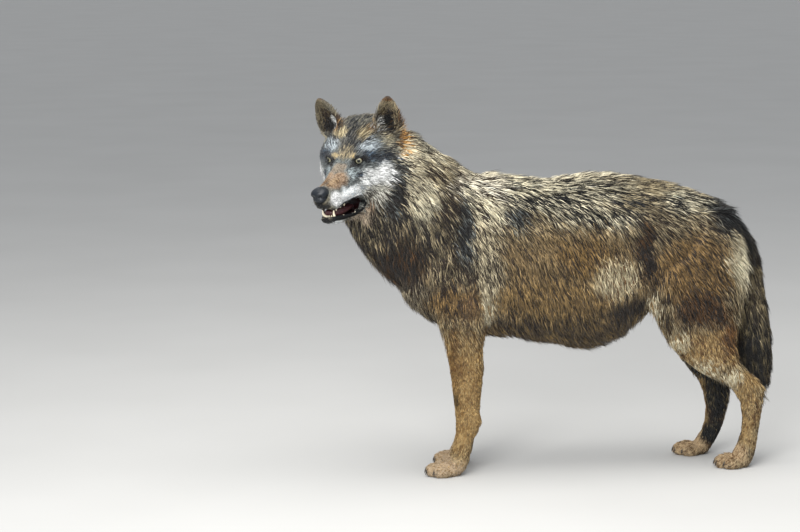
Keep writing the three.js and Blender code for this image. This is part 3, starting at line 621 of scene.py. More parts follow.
def brushed(vertices, triangles, brushes):
    """Points moved along their normals by each brush's height times exp(-distance^2 / 2), with the
    distance counted in the brush's reach, on both sides of the head."""
    places = head_places(vertices)
    places[:, 0] = np.abs(places[:, 0])
    rise = np.zeros(len(vertices))
    for at, reach, height in brushes.values():
        rise += height * np.exp(-(((places - np.array(at)) / np.array(reach)) ** 2).sum(1) / 2)
    return vertices + vertex_normals(vertices, triangles) * rise[:, None] * MM


def solid_arrays(node):
    """A solid's vertices, merged where they meet, and its triangles."""
    vertices, triangles = arrays_of(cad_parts[node].data)
    merged, index = np.unique(np.round(vertices, 6), axis=0, return_inverse=True)
    triangles = index.reshape(-1)[triangles]
    return merged, triangles[(triangles != np.roll(triangles, 1, axis=1)).all(1)]


def joined_flesh():
    """The solids of flesh in one mesh, each a little swelled along its vertex normals."""
    everything, corners, start = [], [], 0
    for node in FLESH:
        vertices, triangles = solid_arrays(node)
        if node in ("head", "jaw"):
            vertices = from_head(pressed_teeth(head_places(vertices)))
        swell = EAR_OVERLAP if node.startswith("ear") else OVERLAP
        everything.append(vertices + swell * vertex_normals(vertices, triangles))
        corners.append(triangles + start)
        start += len(vertices)
    return faces_object("flesh", np.concatenate(everything), np.concatenate(corners))


def largest_shell(vertices, triangles):
    """The part of a mesh that hangs together with its highest vertex. Each edge hooks the higher of its
    ends' labels onto the lower one, and labels are followed down until nothing changes."""
    edges = edges_of(triangles)
    label = np.arange(len(vertices))
    while True:
        first, second = label[edges[:, 0]], label[edges[:, 1]]
        apart = first != second
        if not apart.any():
            break
        np.minimum.at(label, np.maximum(first, second)[apart], np.minimum(first, second)[apart])
        while (label[label] != label).any():
            label = label[label]
    kept = label == label[np.argmax(vertices[:, 2])]
    renumbered = np.cumsum(kept) - 1
    return vertices[kept], renumbered[triangles[kept[triangles[:, 0]]]]


def make_skin():
    """One skin: the flesh remeshed whole, smoothed, drawn in by the coat's depth, then thinned out."""
    whole = finished("whole", joined_flesh(),
                     ("REMESH", {"mode": "VOXEL", "voxel_size": SKIN_VOXEL, "adaptivity": 0.0}))
    vertices, triangles = arrays_of(whole.data)
    bpy.data.objects.remove(whole)
    vertices, triangles = largest_shell(vertices, triangles)
    edges = edges_of(triangles)
    vertices = relaxed(vertices, edges, *WHOLE_SMOOTHING)
    softened = relaxed(vertices, edges, *BACK_SMOOTHING)
    far_back = smooth_step(-before_neck(head_places(vertices)), *BACK_SMOOTHED)
    above_paws = smooth_step(vertices[:, 2], *ABOVE_PAWS)
    vertices = vertices + (far_back * above_paws)[:, None] * (softened - vertices)
    depth = relaxed(coat_at(vertices)[3][:, None] * MM, edges, EVENING)
    for _ in range(DRAWING_STEPS):
        normals = unit(relaxed(vertex_normals(vertices, triangles), edges, EVENING))
        vertices = relaxed(vertices - normals * depth / DRAWING_STEPS, edges, *DRAWN_SMOOTHING)
    vertices = brushed(relaxed(vertices, edges, *LAST_SMOOTHING), triangles, HEAD_BRUSHES)
    vertices[:, 2] = np.maximum(vertices[:, 2], SKIN_FLOOR)
    raw = faces_object("raw_skin", vertices, triangles)
    coarse = smooth_step(np.linalg.norm(head_places(vertices), axis=1), FINE_WITHIN, COARSE_BEYOND)
    group = raw.vertex_groups.new(name="thin")
    band = 1 / BANDS
    for low in np.linspace(0, 1 - band, BANDS):
        chosen = np.nonzero((coarse >= low) & (coarse <= low + band))[0]
        group.add(chosen.tolist(), LEAST_THINNED + (1 - LEAST_THINNED) * (low + band / 2), "REPLACE")
    return finished("skin", raw, ("DECIMATE", {
        "ratio": min(SKIN_TRIANGLES / len(triangles), 1.0),
        "vertex_group": "thin", "vertex_group_factor": 1.0,
    }))


# ---- coat ------------------------------------------------------------------------------------------

# A region's coat: pieces, locks in each piece, and a clump's width in mm.
COATS = {
    "head": (3, 16500, 4.0),
    "ears": (1, 7000, 4.0),
    "neck": (1, 21000, 7.0),
    "trunk": (3, 15300, 6.5),
    "forelegs": (1, 17500, 5.0),
    "hindlegs": (1, 18000, 6.0),
    "tail": (1, 9000, 9.0),
}
TAIL_MIDDLE = [  # z, y
    (172, 435), (245, 425), (300, 415), (370, 408), (440, 401), (510, 389), (620, 345),
]

# Where the regions end. Ears and head are given in head places, the others in body places.
EAR_SIDE, EAR_FOOT, EAR_SLOPE, EAR_REAR, EAR_FRONT = 42, 72, 0.25, -135, -40
HEAD_REAR = -98
TAIL_TOP, TAIL_SIDE, TAIL_FRONT, TAIL_DEEP = 560, 50, 340, 56
FORELEG_REAR, FORELEG_TOP = -190, 395
HINDLEG_FRONT, HINDLEG_TOP, HINDLEG_TOP_Y, HINDLEG_SLOPE = 90, 500, 250, 0.3
NECK_REAR, NECK_FOOT, NECK_AHEAD, NECK_ABOVE = -395, 600, 0.86, 0.51

# The axes that the unwrap turns round.
EAR_OUT, EAR_BACK, HEAD_LOW = 82, 92, 40
FORELEG_OUT, FORELEG_Y = 70, -320
HINDLEG_OUT, HINDLEG_Y, HINDLEG_Z, HINDLEG_LEAN = 82, 330, 200, 0.1
NECK_OUT, NECK_Y, NECK_Z, NECK_LEAN = 20, -450, 660, 0.5
TRUNK_Z = 540
NECK_ALONG = 0.7  # height and y count this much in the way along the neck


def regions_of(points):
    """The name of the coat region that each point lies in, and its place on an unwrap of that region:
    the angle round the region's axis and the way along it, both from 0 to 1."""
    body, head = body_places(points), head_places(points)
    x, y, z = body.T
    left, forward, up = head.T
    tail_y = read_off(TAIL_MIDDLE, z)
    rules = {
        "ears": ((np.abs(left) > EAR_SIDE) & (up > EAR_FOOT + EAR_SLOPE * forward)
                 & (forward > EAR_REAR) & (forward < EAR_FRONT)),
        "head": before_neck(head) > HEAD_REAR,
        "tail": ((z < TAIL_TOP) & (np.abs(x) < TAIL_SIDE)
                 & (y > TAIL_FRONT) & (np.abs(y - tail_y) < TAIL_DEEP)),
        "forelegs": (y < FORELEG_REAR) & (z < FORELEG_TOP),
        "hindlegs": (y > HINDLEG_FRONT) & (z < HINDLEG_TOP + HINDLEG_SLOPE * (y - HINDLEG_TOP_Y)),
        "neck": NECK_ABOVE * (z - NECK_FOOT) - NECK_AHEAD * (y - NECK_REAR) > 0,
        "trunk": np.ones(len(points), bool),
    }
    names = np.array(list(rules))
    which = np.argmax(np.array(list(rules.values())), axis=0)
    name = names[which]
    side = np.where(x > 0, 1.0, -1.0)
    half_turn = np.where(side > 0, 0, np.pi)
    ear_turn = np.where(left > 0, 0, np.pi)
    leg_y = np.where(y < 0, FORELEG_Y, HINDLEG_Y + HINDLEG_LEAN * (z - HINDLEG_Z))
    around = {
        "ears": np.arctan2(np.abs(left) - EAR_OUT, forward + EAR_BACK) / 2 + ear_turn,
        "head": np.arctan2(left, up + HEAD_LOW),
        "tail": np.arctan2(x, y - tail_y),
        "forelegs": np.arctan2(x - side * FORELEG_OUT, y - leg_y) / 2 + half_turn,
        "hindlegs": np.arctan2(x - side * HINDLEG_OUT, y - leg_y) / 2 + half_turn,
        "neck": np.arctan2(x - NECK_OUT, z - NECK_Z + NECK_LEAN * (y - NECK_Y)),
        "trunk": np.arctan2(x, z - TRUNK_Z),
    }
    along = {"ears": up, "head": forward, "tail": z, "forelegs": z, "hindlegs": z,
             "neck": NECK_ALONG * z - NECK_ALONG * y, "trunk": y}
    angle = np.choose(which, [around[key] for key in names])
    way = np.choose(which, [along[key] for key in names])
    return name, np.mod(angle / (2 * np.pi), 1.0), way


# The eyes' openings: half width towards the corners, reach above and below, and the slant of the slit.
EYE_MIDDLE = (37, -11, 0)
EYE_RADIUS = 12.4
GAZE_OUT = math.radians(24)  # an eye looks this far outwards of straight ahead
EYE_SLANT = math.radians(18)  # the outer corner is the higher one
OPENING = {"half": 11.6, "above": 5.7, "below": 5.8}
SLIT_BACK, SLIT_FRONT = -4, 30  # how far behind and ahead of the eye's middle its slit counts
NOWHERE_NEAR = 99.0

# Edges of the lips and the mouth's floor seen from the side (forward, up), and the inner jaw's half
# width from above (forward, left).
UPPER_LIP = [
    (-18, -106), (-12, -96), (7, -88), (43, -86), (65, -94), (80, -95), (100, -88), (114, -80),
]
LOWER_LIP = [(-18, -106), (-8, -117), (6, -122), (36, -121), (70, -113), (100, -108), (114, -106)]
JAW_FLOOR = [(-16, -137), (16, -135), (50, -131), (84, -126), (108, -117)]
JAW_HALF = [(-30, 20), (50, 20), (70, 15), (92, 10), (104, 5)]
ROOF = -77  # level of the palate's top
LIPS_BACK, LIPS_FRONT, LIPS_HALF = -22, 122, 54
CAVITY_BACK, CAVITY_FRONT = -30, 104
DARK_ABOVE, DARK_BELOW = -0.6, 1.5  # how far the dark edges pass over the lips
LIP_EDGE, WELL_INSIDE = 0.8, 9  # half the width of the change from dark to hairy, and clear of it
NOSE_AT, NOSE_REACH, NOSE_EDGE = (0, 128, -46), (20, 22, 20), (0.85, 1.1)
EYE_CLEAR = 1.3  # no hair grows nearer to an eye than this, in the slit's own size
SOLE = 2.0 * MM  # nor lower than this


def eye_axes(side):
    """An eye's middle and its own axes in head millimetres: towards the outer corner, up, and ahead."""
    ahead = np.array([side * math.sin(GAZE_OUT), math.cos(GAZE_OUT), 0])
    outer = np.array([side * math.cos(GAZE_OUT), -math.sin(GAZE_OUT), 0])
    tilted = outer * math.cos(EYE_SLANT) + np.array([0, 0, 1]) * math.sin(EYE_SLANT)
    return np.array(EYE_MIDDLE) * [side, 1, 1], tilted, np.cross(ahead, tilted) * -side, ahead


def near_eye(head):
    """How far each head place lies from the middle of an eye's slit, counted in the slit's own size."""
    far = np.full(len(head), NOWHERE_NEAR)
    for side in (1, -1):
        middle, outer, above, ahead = eye_axes(side)
        local = head - middle
        across, rise, depth = local @ outer, local @ above, local @ ahead
        height = np.where(rise > 0, OPENING["above"], OPENING["below"])
        reach = np.hypot(across / OPENING["half"], rise / height)
        far = np.where((depth > SLIT_BACK) & (depth < SLIT_FRONT), np.minimum(far, reach), far)
    return far


def mouth_share(head):
    """1 inside the mouth and on the lips' dark edges, 0 on the hairy skin around them."""
    left, forward, up = np.abs(head[:, 0]), head[:, 1], head[:, 2]
    below_upper = read_off(UPPER_LIP, forward) + DARK_ABOVE - up
    above_lower = up - read_off(LOWER_LIP, forward) + DARK_BELOW
    inside = np.minimum(below_upper, above_lower)
    between = (forward > LIPS_BACK) & (left < LIPS_HALF) & (forward < LIPS_FRONT)
    inside = np.where(between, inside, -WELL_INSIDE)
    deep = (left < read_off(JAW_HALF, forward)) & (up > read_off(JAW_FLOOR, forward)) & (up < ROOF)
    inside = np.where(deep & (forward > CAVITY_BACK) & (forward < CAVITY_FRONT), WELL_INSIDE, inside)
    return smooth_step(inside, -LIP_EDGE, LIP_EDGE)


def nose_share(head):
    """1 where the skin is bare and black around the nose pad."""
    far = np.linalg.norm((head - NOSE_AT) / NOSE_REACH, axis=1)
    return 1 - smooth_step(far, *NOSE_EDGE)


def bare_skin(points):
    """True where no locks grow: eyes, lips, mouth, nose and soles."""
    head = head_places(points)
    bare = (near_eye(head) < EYE_CLEAR) | (mouth_share(head) > 0.5) | (nose_share(head) > 0.5)
    return bare | (points[:, 2] < SOLE)


def scattered(vertices, triangles, weight, count, rng):
    """Count points on the triangles, spread evenly by area times weight, with the triangle of each and
    its corners' shares."""
    area = np.linalg.norm(face_normals(vertices, triangles), axis=1) * weight
    total = np.cumsum(area)
    wanted = (np.arange(count) + rng.random(count)) / count * total[-1]
    chosen = np.minimum(np.searchsorted(total, wanted), len(area) - 1)
    a, b = rng.random(count), rng.random(count)
    over = a + b > 1
    a[over], b[over] = 1 - a[over], 1 - b[over]
    first, second, third = (vertices[triangles[chosen, k]] for k in range(3))
    points = first + a[:, None] * (second - first) + b[:, None] * (third - first)
    shares = np.stack([1 - a - b, a, b], axis=1)
    return points, chosen, shares


def clumps_of(points, size, seed):
    """The number of the clump of each point: cells of about size millimetres, with wavy borders."""
    places = points / MM
    wobble = waves(places, size * CLUMP_WAVE_SIZE, seed) * size * CLUMP_WAVE
    cells = np.floor((places + wobble) / size)
    _, clump = np.unique(cells.astype(np.int64), axis=0, return_inverse=True)
    return clump.reshape(-1)


def mean_by(group, values):
    """Each value replaced by the mean of its group."""
    count = np.bincount(group)[:, None]
    return (gathered(len(count), group, values) / count)[group]


LOCK_SIDES = 3
WAIST = 0.45  # a lock's second ring lies here along it, its first at the root
ROOT_GIRTH, WAIST_GIRTH, BACK_HIGH = 0.75, 1.0, 0.8  # shares of its width
CLUMP_WAVE, CLUMP_WAVE_SIZE = 0.7, 2.5  # how far a clump's borders wander and over what, in its sizes
CLUMP_PULL, PULL_LIMIT = 0.5, 0.45  # how far the tips of a clump come together, in lengths at most
ROOT_SINK, SINK_SHARE = 0.9, 0.12  # millimetres that a lock starts under the skin, or share of its length
STAND, STAND_FROM = 0.55, 0.25  # how much more a lock rises where its lie runs into the skin
SET_OFF, SETTLE, SAG = 1.6, 0.15, -0.12  # tilt at the root and the tip, and the tip's own weight
TILT_LEAST, TILT_MOST, TILT_SPREAD, TILT_WAVE = 0.04, 0.9, 0.3, 0.4
TURN_LOCK, TURN_CLUMP = 0.16, 0.14  # radians that a lock and its clump stray from the lie
LENGTHS, WIDTHS, LENGTH_WAVE = (0.75, 1.2), (0.75, 1.25), 0.15
TILT_SIZE, LENGTH_SIZE = 22, 30  # millimetres over which tilt and length vary together
TILT_SEED, LENGTH_SEED = 3, 9
SHORT, LONG = 6, 20  # from the first length (mm) on, a clump's locks are ever more of one shade
TIED, TIED_MORE, TIED_FULL = 0.45, 0.5, 1.35
SEEN = 0.7  # the part of a lock that shows lies about here along it, and takes that place's colour
STRAY = 0.16  # share of its length that a lock's colour may be taken from beside it
SHADE_SPREAD = 0.12  # how much locks, and clumps, differ in lightness
ROOT_SHADE, ROOT_SHADE_LIFT = 0.42, 0.5  # painted shade at a lock's root, for the shadow of the locks over it: the root's lightness is the first plus the second times the lock's own, so pale locks are shaded less
DARK_TIPS, TIP_LIGHT, TIP_SPREAD = 0.25, 1.1, 0.2  # share of locks with dark tips; how light the others are
DARK_TIP, PALE_LOCKS = 0.4, (0.45, 0.85)  # how light a dark tip is, and on which locks it pales
PATCH = 0.003  # a lock's patch on the unwrap
LOCK_NUMBERS = 900  # range over which locks start along the noise of their strands


def spread_out(unwrap):
    """Places on the unwrap evened out, so that no two patches meet: points are put in columns by their
    first coordinate and in rows of each column by their second, keeping their order."""
    count = len(unwrap)
    columns = int(math.sqrt(count))
    rows = -(-count // columns)
    column = np.empty(count, int)
    column[np.argsort(unwrap[:, 0], kind="stable")] = np.arange(count) // rows
    order = np.lexsort((unwrap[:, 1], column))
    row = np.empty(count, int)
    row[order] = np.arange(count) % rows
    return np.stack([(column + 0.5) / (columns + 1), (row + 0.5) / rows], axis=1)


def lock_faces():
    """Corners of one lock's quads and tip triangles, and the places of all of them on its patch."""
    side = np.arange(LOCK_SIDES)
    following = (side + 1) % LOCK_SIDES
    quads = np.stack([side, following, following + LOCK_SIDES, side + LOCK_SIDES], axis=1)
    tips = np.stack([side + LOCK_SIDES, following + LOCK_SIDES, 0 * side + 2 * LOCK_SIDES], axis=1)
    corners = np.concatenate([quads.ravel(), tips.ravel()])
    sizes = np.repeat([4, 3], LOCK_SIDES)
    places = [place for j in range(LOCK_SIDES)
              for place in ((j, 0.0), (j + 1, 0.0), (j + 1, WAIST), (j, WAIST))]
    places += [place for j in range(LOCK_SIDES) for place in ((j, WAIST), (j + 1, WAIST), (j + 0.5, 1.0))]
    return corners, sizes, np.array(places) / [LOCK_SIDES, 1]


def lock_tints(seen, wild, shade, rng):
    """A lock's colours at the root, the waist and the tip, for the place that it shows at; the root is
    darkened with painted shade.
    """
    body = colours_at(seen, wild) * shade
    # painted shade: the root darkened as if in the shadow of the locks around it
    root = body * (ROOT_SHADE + ROOT_SHADE_LIFT * body.mean(1, keepdims=True))
    dark_tip = DARK_TIP + (1 - DARK_TIP) * smooth_step(body.mean(1), *PALE_LOCKS)
    is_dark = rng.random(len(seen)) < DARK_TIPS
    light_tip = TIP_LIGHT + TIP_SPREAD * rng.standard_normal(len(seen))
    tip = body * np.where(is_dark, dark_tip, light_tip)[:, None]
    return np.stack([root] * LOCK_SIDES + [body] * LOCK_SIDES + [tip], axis=1)


def lock_mesh(name, points, normals, clump_size, unwrap, rng):
    """Locks of hair as closed thin spikes of three sides.

    A lock starts under the skin, sets off along its lie tilted up by its rise, and bends back down to
    the lie: centre(s) = root + length (s start + s^2/2 (end - start)), s from 0 to 1. It is widest at
    its waist and nought at the tip, and its tip is drawn towards its clump's."""
    count = len(points)
    lie, length, rise, _, width = coat_at(points)
    clump = clumps_of(points, clump_size, SEED)
    clumps = clump.max() + 1
    together = TIED + TIED_MORE * smooth_step(length, SHORT, LONG)
    wild = 0.5 + together * (rng.random(clumps)[clump] - 0.5)
    wild = wild + (TIED_FULL - together) * (rng.random(count) - 0.5)
    into = (lie * normals).sum(1)
    lie = lie - into[:, None] * normals
    turn = rng.normal(0, TURN_LOCK, count) + rng.normal(0, TURN_CLUMP, clumps)[clump]
    lie = unit(lie)
    across = np.cross(normals, lie)
    lie = unit(lie * np.cos(turn)[:, None] + across * np.sin(turn)[:, None])
    across = np.cross(normals, lie)
    tilt_wave = TILT_WAVE * noise(points / MM, TILT_SIZE, TILT_SEED)
    tilt = rise * (1 + rng.normal(0, TILT_SPREAD, count) + tilt_wave)
    tilt = np.clip(tilt, TILT_LEAST, TILT_MOST) + STAND * np.clip(-into - STAND_FROM, 0, 1)
    longer = 1 + LENGTH_WAVE * noise(points / MM, LENGTH_SIZE, LENGTH_SEED)
    length = length * MM * rng.uniform(*LENGTHS, count) * longer
    width = width * MM * rng.uniform(*WIDTHS, count)
    start = unit(lie + normals * (SET_OFF * tilt)[:, None])
    end = unit(lie + normals * (SETTLE * tilt)[:, None] + [0, 0, SAG])
    root = points - normals * np.minimum(ROOT_SINK * MM, SINK_SHARE * length)[:, None]

    def centre(s):
        return root + length[:, None] * (s * start + s * s / 2 * (end - start))

    tip = centre(1.0)
    draw = (mean_by(clump, tip) - tip) * CLUMP_PULL
    far = np.linalg.norm(draw, axis=1, keepdims=True)
    draw *= np.minimum(1, PULL_LIMIT * length[:, None] / np.maximum(far, 1e-9))
    rings = []
    for s, girth in ((0.0, ROOT_GIRTH), (WAIST, WAIST_GIRTH)):
        middle = centre(s) + draw * s * s
        half = (width * girth / 2)[:, None]
        rings += [middle - across * half, middle + across * half, middle + normals * half * BACK_HIGH]
    vertices = np.stack(rings + [tip + draw], axis=1)
    vertices[..., 2] = np.maximum(vertices[..., 2], HAIR_FLOOR)
    per_lock = vertices.shape[1]
    pattern, sizes, places = lock_faces()
    corners = (pattern[None] + per_lock * np.arange(count)[:, None]).ravel()
    made = mesh_object(name, vertices.reshape(-1, 3), corners, np.tile(sizes, count))

    seen = centre(SEEN) + draw * SEEN ** 2 + rng.normal(0, STRAY, (count, 3)) * length[:, None]
    shade = rng.normal(1, SHADE_SPREAD, count)[:, None]
    shade = shade * (1 + SHADE_SPREAD * rng.standard_normal(clumps)[clump])[:, None]
    paint(made, "tint", lock_tints(seen, wild, shade, rng).reshape(-1, 3))

    baked = spread_out(unwrap)[:, None] * (1 - PATCH) + places[None] * PATCH
    strand = np.stack([
        places[None, :, 0] * (LOCK_SIDES * width / MM)[:, None]
        + rng.uniform(0, LOCK_NUMBERS, count)[:, None],
        places[None, :, 1] * (length / MM)[:, None],
    ], axis=2)
    for label, spots in (("OFBake", baked), ("Strands", strand)):
        made.data.uv_layers.new(name=label).uv.foreach_set("vector", spots.astype(np.float32).ravel())
    made.data.uv_layers.active = made.data.uv_layers["OFBake"]
    return made


def make_coat(skin, lids):
    """All coat pieces: roots scattered on skin and lids by region, denser where the locks are small."""
    grounds = [arrays_of(skin.data), *lids]
    starts = np.cumsum([0] + [len(points) for points, _ in grounds])
    vertices = np.concatenate([points for points, _ in grounds])
    triangles = np.concatenate([corners + start for (_, corners), start in zip(grounds, starts)])
    normals = vertex_normals(vertices, triangles)
    middles = vertices[triangles].mean(1)
    _, length, _, _, width = coat_at(middles)
    name, _, _ = regions_of(middles)
    bare = bare_skin(middles)
    rng = np.random.default_rng(SEED)
    made = []
    for region, (pieces, locks, clump_size) in COATS.items():
        weight = (name == region) * ~bare / (length * width)
        points, chosen, shares = scattered(vertices, triangles, weight, pieces * locks, rng)
        point_normals = unit((normals[triangles[chosen]] * shares[:, :, None]).sum(1))
        _, around, along = regions_of(points)
        along = (along - along.min()) / np.ptp(along)
        unwrap = np.stack([around, along], axis=1)
        for piece in range(pieces):
            mine = np.arange(piece, len(points), pieces)
            label = f"coat_{region}_{piece + 1}" if pieces > 1 else f"coat_{region}"
            made.append(lock_mesh(label, points[mine], point_normals[mine], clump_size, unwrap[mine], rng))
    return made


# ---- lofted pieces ---------------------------------------------------------------------------------

def closed_loft(rings):
    """Vertices, corners and sizes of the closed surface over a grid of rings (rows, columns, 3), whose
    end rings are closed by fans to their middles. It is turned to face outwards if it faces in."""
    rows, columns, _ = rings.shape
    vertices = np.concatenate([rings.reshape(-1, 3), rings[:1].mean(1), rings[-1:].mean(1)])
    quads = grid_faces(rows, columns)
    column = np.arange(columns)
    following = (column + 1) % columns
    top, last_row = rows * columns, (rows - 1) * columns
    first = np.stack([np.full(columns, top), following, column], axis=1)
    last = np.stack([last_row + column, last_row + following, np.full(columns, top + 1)], axis=1)
    fans = np.concatenate([first, last])
    triangles = np.concatenate([halved(quads), fans])
    a, b, c = (vertices[triangles[:, k]] - vertices.mean(0) for k in range(3))
    if (a * np.cross(b, c)).sum() < 0:
        quads, fans = quads[:, ::-1], fans[:, ::-1]
    sizes = np.concatenate([np.full(len(quads), 4), np.full(len(fans), 3)])
    return vertices, np.concatenate([quads.ravel(), fans.ravel()]), sizes


def lofts_object(name, lofts):
    """One object of several closed lofts."""
    starts = np.cumsum([0] + [len(vertices) for vertices, _, _ in lofts])
    return mesh_object(
        name,
        np.concatenate([vertices for vertices, _, _ in lofts]),
        np.concatenate([corners + start for (_, corners, _), start in zip(lofts, starts)]),
        np.concatenate([sizes for _, _, sizes in lofts]),
    )


def smooth_path(points, count):
    """Count places at even steps along a smooth curve through the points (Catmull-Rom)."""
    points = np.asarray(points, float)
    padded = np.concatenate([[2 * points[0] - points[1]], points, [2 * points[-1] - points[-2]]])
    s = np.linspace(0, len(points) - 1, count)
    k = np.minimum(s.astype(int), len(points) - 2)
    t = (s - k)[:, None]
    p0, p1, p2, p3 = (padded[k + i] for i in range(4))
    return 0.5 * (2 * p1 + (p2 - p0) * t + (2 * p0 - 5 * p1 + 4 * p2 - p3) * t ** 2
                  + (3 * p1 - p0 - 3 * p2 + p3) * t ** 3)


def cord_rings(path, half_wide, half_high, columns, above=(0, 0, 1)):
    """Rings of an ellipse carried along a path: its width lies across, its height along above."""
    along = unit(np.gradient(path, axis=0))
    across = unit(np.cross(along, np.asarray(above, float)))
    over = np.cross(across, along)
    angle = np.linspace(0, 2 * np.pi, columns, endpoint=False)
    half_wide = np.broadcast_to(half_wide, len(path))
    half_high = np.broadcast_to(half_high, len(path))
    return (path[:, None] + across[:, None] * (half_wide[:, None] * np.cos(angle))[..., None]
            + over[:, None] * (half_high[:, None] * np.sin(angle))[..., None])


def paint(piece, name, values):
    """A colour attribute on a piece's points, from linear RGB."""
    rgba = np.concatenate([np.clip(values, 0, 1), np.ones((len(values), 1))], axis=1)
    attribute = piece.data.color_attributes.new(name, "FLOAT_COLOR", "POINT")
    attribute.data.foreach_set("color", rgba.astype(np.float32).ravel())


def measure(piece, name, values):
    """A number attribute on a piece's points."""
    attribute = piece.data.attributes.new(name, "FLOAT", "POINT")
    attribute.data.foreach_set("value", np.asarray(values, np.float32))


# ---- eyes ------------------------------------------------------------------------------------------

IRIS_ANGLE, PUPIL_ANGLE, RIGHT_ANGLE = 38, 13.5, 90  # degrees from the line of sight
FRONT_RINGS, BACK_RINGS = (1, 60, 40), (66, 179, 20)  # first and last angle, and how many
EYE_COLUMNS, LID_COLUMNS = 64, 72
CORNEA, CORNEA_ANGLE = 0.7, 30  # how far the clear front stands proud, and over how many degrees


def make_eyeball(side):
    """A sphere round the line of sight, bulged in front by cornea times exp(-(angle / its angle)^2)."""
    middle, outer, above, ahead = eye_axes(side)
    polar = np.radians(np.concatenate([np.linspace(*FRONT_RINGS), np.linspace(*BACK_RINGS)]))
    angle = np.linspace(0, 2 * np.pi, EYE_COLUMNS, endpoint=False)
    radius = EYE_RADIUS + CORNEA * np.exp(-(polar / math.radians(CORNEA_ANGLE)) ** 2)
    reach = (radius * np.sin(polar))[:, None]
    rings = (middle + (reach * np.cos(angle))[..., None] * outer
             + (reach * np.sin(angle))[..., None] * above
             + (radius * np.cos(polar))[:, None, None] * ahead)
    name = f"eye_{side_name(side)}"
    piece = lofts_object(f"{name}_ball", [closed_loft(from_head(rings))])
    local = head_places(arrays_of(piece.data)[0]) - middle
    turn = np.arctan2(local @ above, local @ outer)
    sight = np.degrees(np.arccos(np.clip(unit(local) @ ahead, -1, 1)))
    measure(piece, "sight", sight / RIGHT_ANGLE)
    spokes = np.stack([np.cos(turn), np.sin(turn), 0 * turn], axis=1) * 0.5 + 0.5
    paint(piece, "spokes", spokes)
    place_piece(piece, "eye", eye_material(), name)


LID_STEPS = [  # share of the way out to the skin, distance outwards (mm), height over the eyeball (mm)
    (0.0, -0.2, -0.6), (0.0, 0.0, 0.9), (0.0, 0.8, 1.6), (0.0, 1.8, 1.8), (0.1, 3.2, 1.5),
    (0.4, 5.0, 1.0), (0.8, 7.0, 0.6), (1.0, 9.0, -0.8),
]
DUCT_OUT, DUCT_DOWN, DUCT_WIDE = 3.4, 1.6, 0.30  # how far the slit is drawn out, mm and radians
LID_CLEAR = 0.7  # least height of the lids over the eyeball
RAY_FROM, RAY_REACH = 60, 100 * MM  # rays onto the skin start this far ahead and reach so far
LEAST_DEPTH = 0.5  # the lids pass no farther back round the eyeball than this share of its radius
LID_FUR, LID_TONE = (2.8, 4.6), 0.6  # rows between which the black rim turns to fur, and its lightness


def make_lids(side, tree):
    """The eyelids as one ring round the slit, given back as points and triangles for hair to grow on.

    Its edge is an almond on the eyeball, drawn out to the tear duct, and its rows pass over the black
    rim and down onto the skin, which a ray against the gaze finds."""
    middle, outer, above, ahead = eye_axes(side)
    turn = np.linspace(0, 2 * np.pi, LID_COLUMNS, endpoint=False)
    across = OPENING["half"] * np.cos(turn)
    rise = np.where(np.sin(turn) > 0, OPENING["above"], OPENING["below"]) * np.sin(turn)
    duct = np.exp(-((turn - np.pi) / DUCT_WIDE) ** 2)
    across, rise = across - DUCT_OUT * duct, rise - DUCT_DOWN * duct
    outwards = unit(np.stack([across / OPENING["half"] ** 2, rise / OPENING["above"] ** 2], axis=1))
    rows = []
    for share, out, height in LID_STEPS:
        x, y = across + out * outwards[:, 0], rise + out * outwards[:, 1]
        globe = EYE_RADIUS + height
        depth = np.sqrt(np.maximum(globe ** 2 - x ** 2 - y ** 2, (LEAST_DEPTH * globe) ** 2))
        start = middle + x[:, None] * outer + y[:, None] * above
        if share:
            origin, line = from_head(start + RAY_FROM * ahead), from_head(-ahead) - HEAD_AT
            hits = [tree.ray_cast(Vector(o), Vector(line), RAY_REACH)[0] for o in origin]
            found = np.array([(np.array(hit) - o) @ unit(line) / MM if hit else np.nan
                              for hit, o in zip(hits, origin)])
            on_skin = np.where(np.isnan(found), depth, RAY_FROM - found)
            depth = depth + share * (on_skin + height - depth)
        if 0 <= out < LID_STEPS[-1][1]:
            least = (EYE_RADIUS + LID_CLEAR) ** 2 - x ** 2 - y ** 2
            depth = np.maximum(depth, np.sqrt(np.maximum(least, 0)))
        rows.append(start + depth[:, None] * ahead)
    grid = np.stack(rows)
    quads = grid_faces(len(rows), len(turn))
    points = from_head(grid.reshape(-1, 3))
    normal = face_normals(points, quads[:, :3]).reshape(len(rows) - 1, -1, 3)[1].mean(0)
    if (normal @ (ahead @ HEAD_AXES)) < 0:
        quads = quads[:, ::-1]
    piece = faces_object(f"eyelids_{side_name(side)}", points, quads)
    row = np.repeat(np.arange(len(rows)), len(turn))
    furry = smooth_step(row, *LID_FUR)[:, None]
    paint(piece, "tint", colour(BLACK) * LID_TONE * (1 - furry) + furry * colours_at(points) * LID_TONE)
    measure(piece, "wet", 1 - furry[:, 0])
    place_piece(piece, "nose", skin_material())
    return points, halved(quads)


# ---- nose and mouth --------------------------------------------------------------------------------

NOSTRILS = [((9.5, 143, -46), (4.2, 7, 4.0), -6.5), ((15.5, 134, -50), (4.5, 6, 2.6), -4.0)]
PHILTRUM = ((0, 142, -58), (1.3, 14, 10), -1.8)
NOSE_VOXEL, NOSE_SMOOTHING, NOSE_SWELL = 1.0 * MM, 10, 1.0 * MM
TONGUE_VOXEL, TONGUE_SMOOTHING = 1.2 * MM, 8
COPY_PULL, COPY_RELEASE = 0.6, 0.5


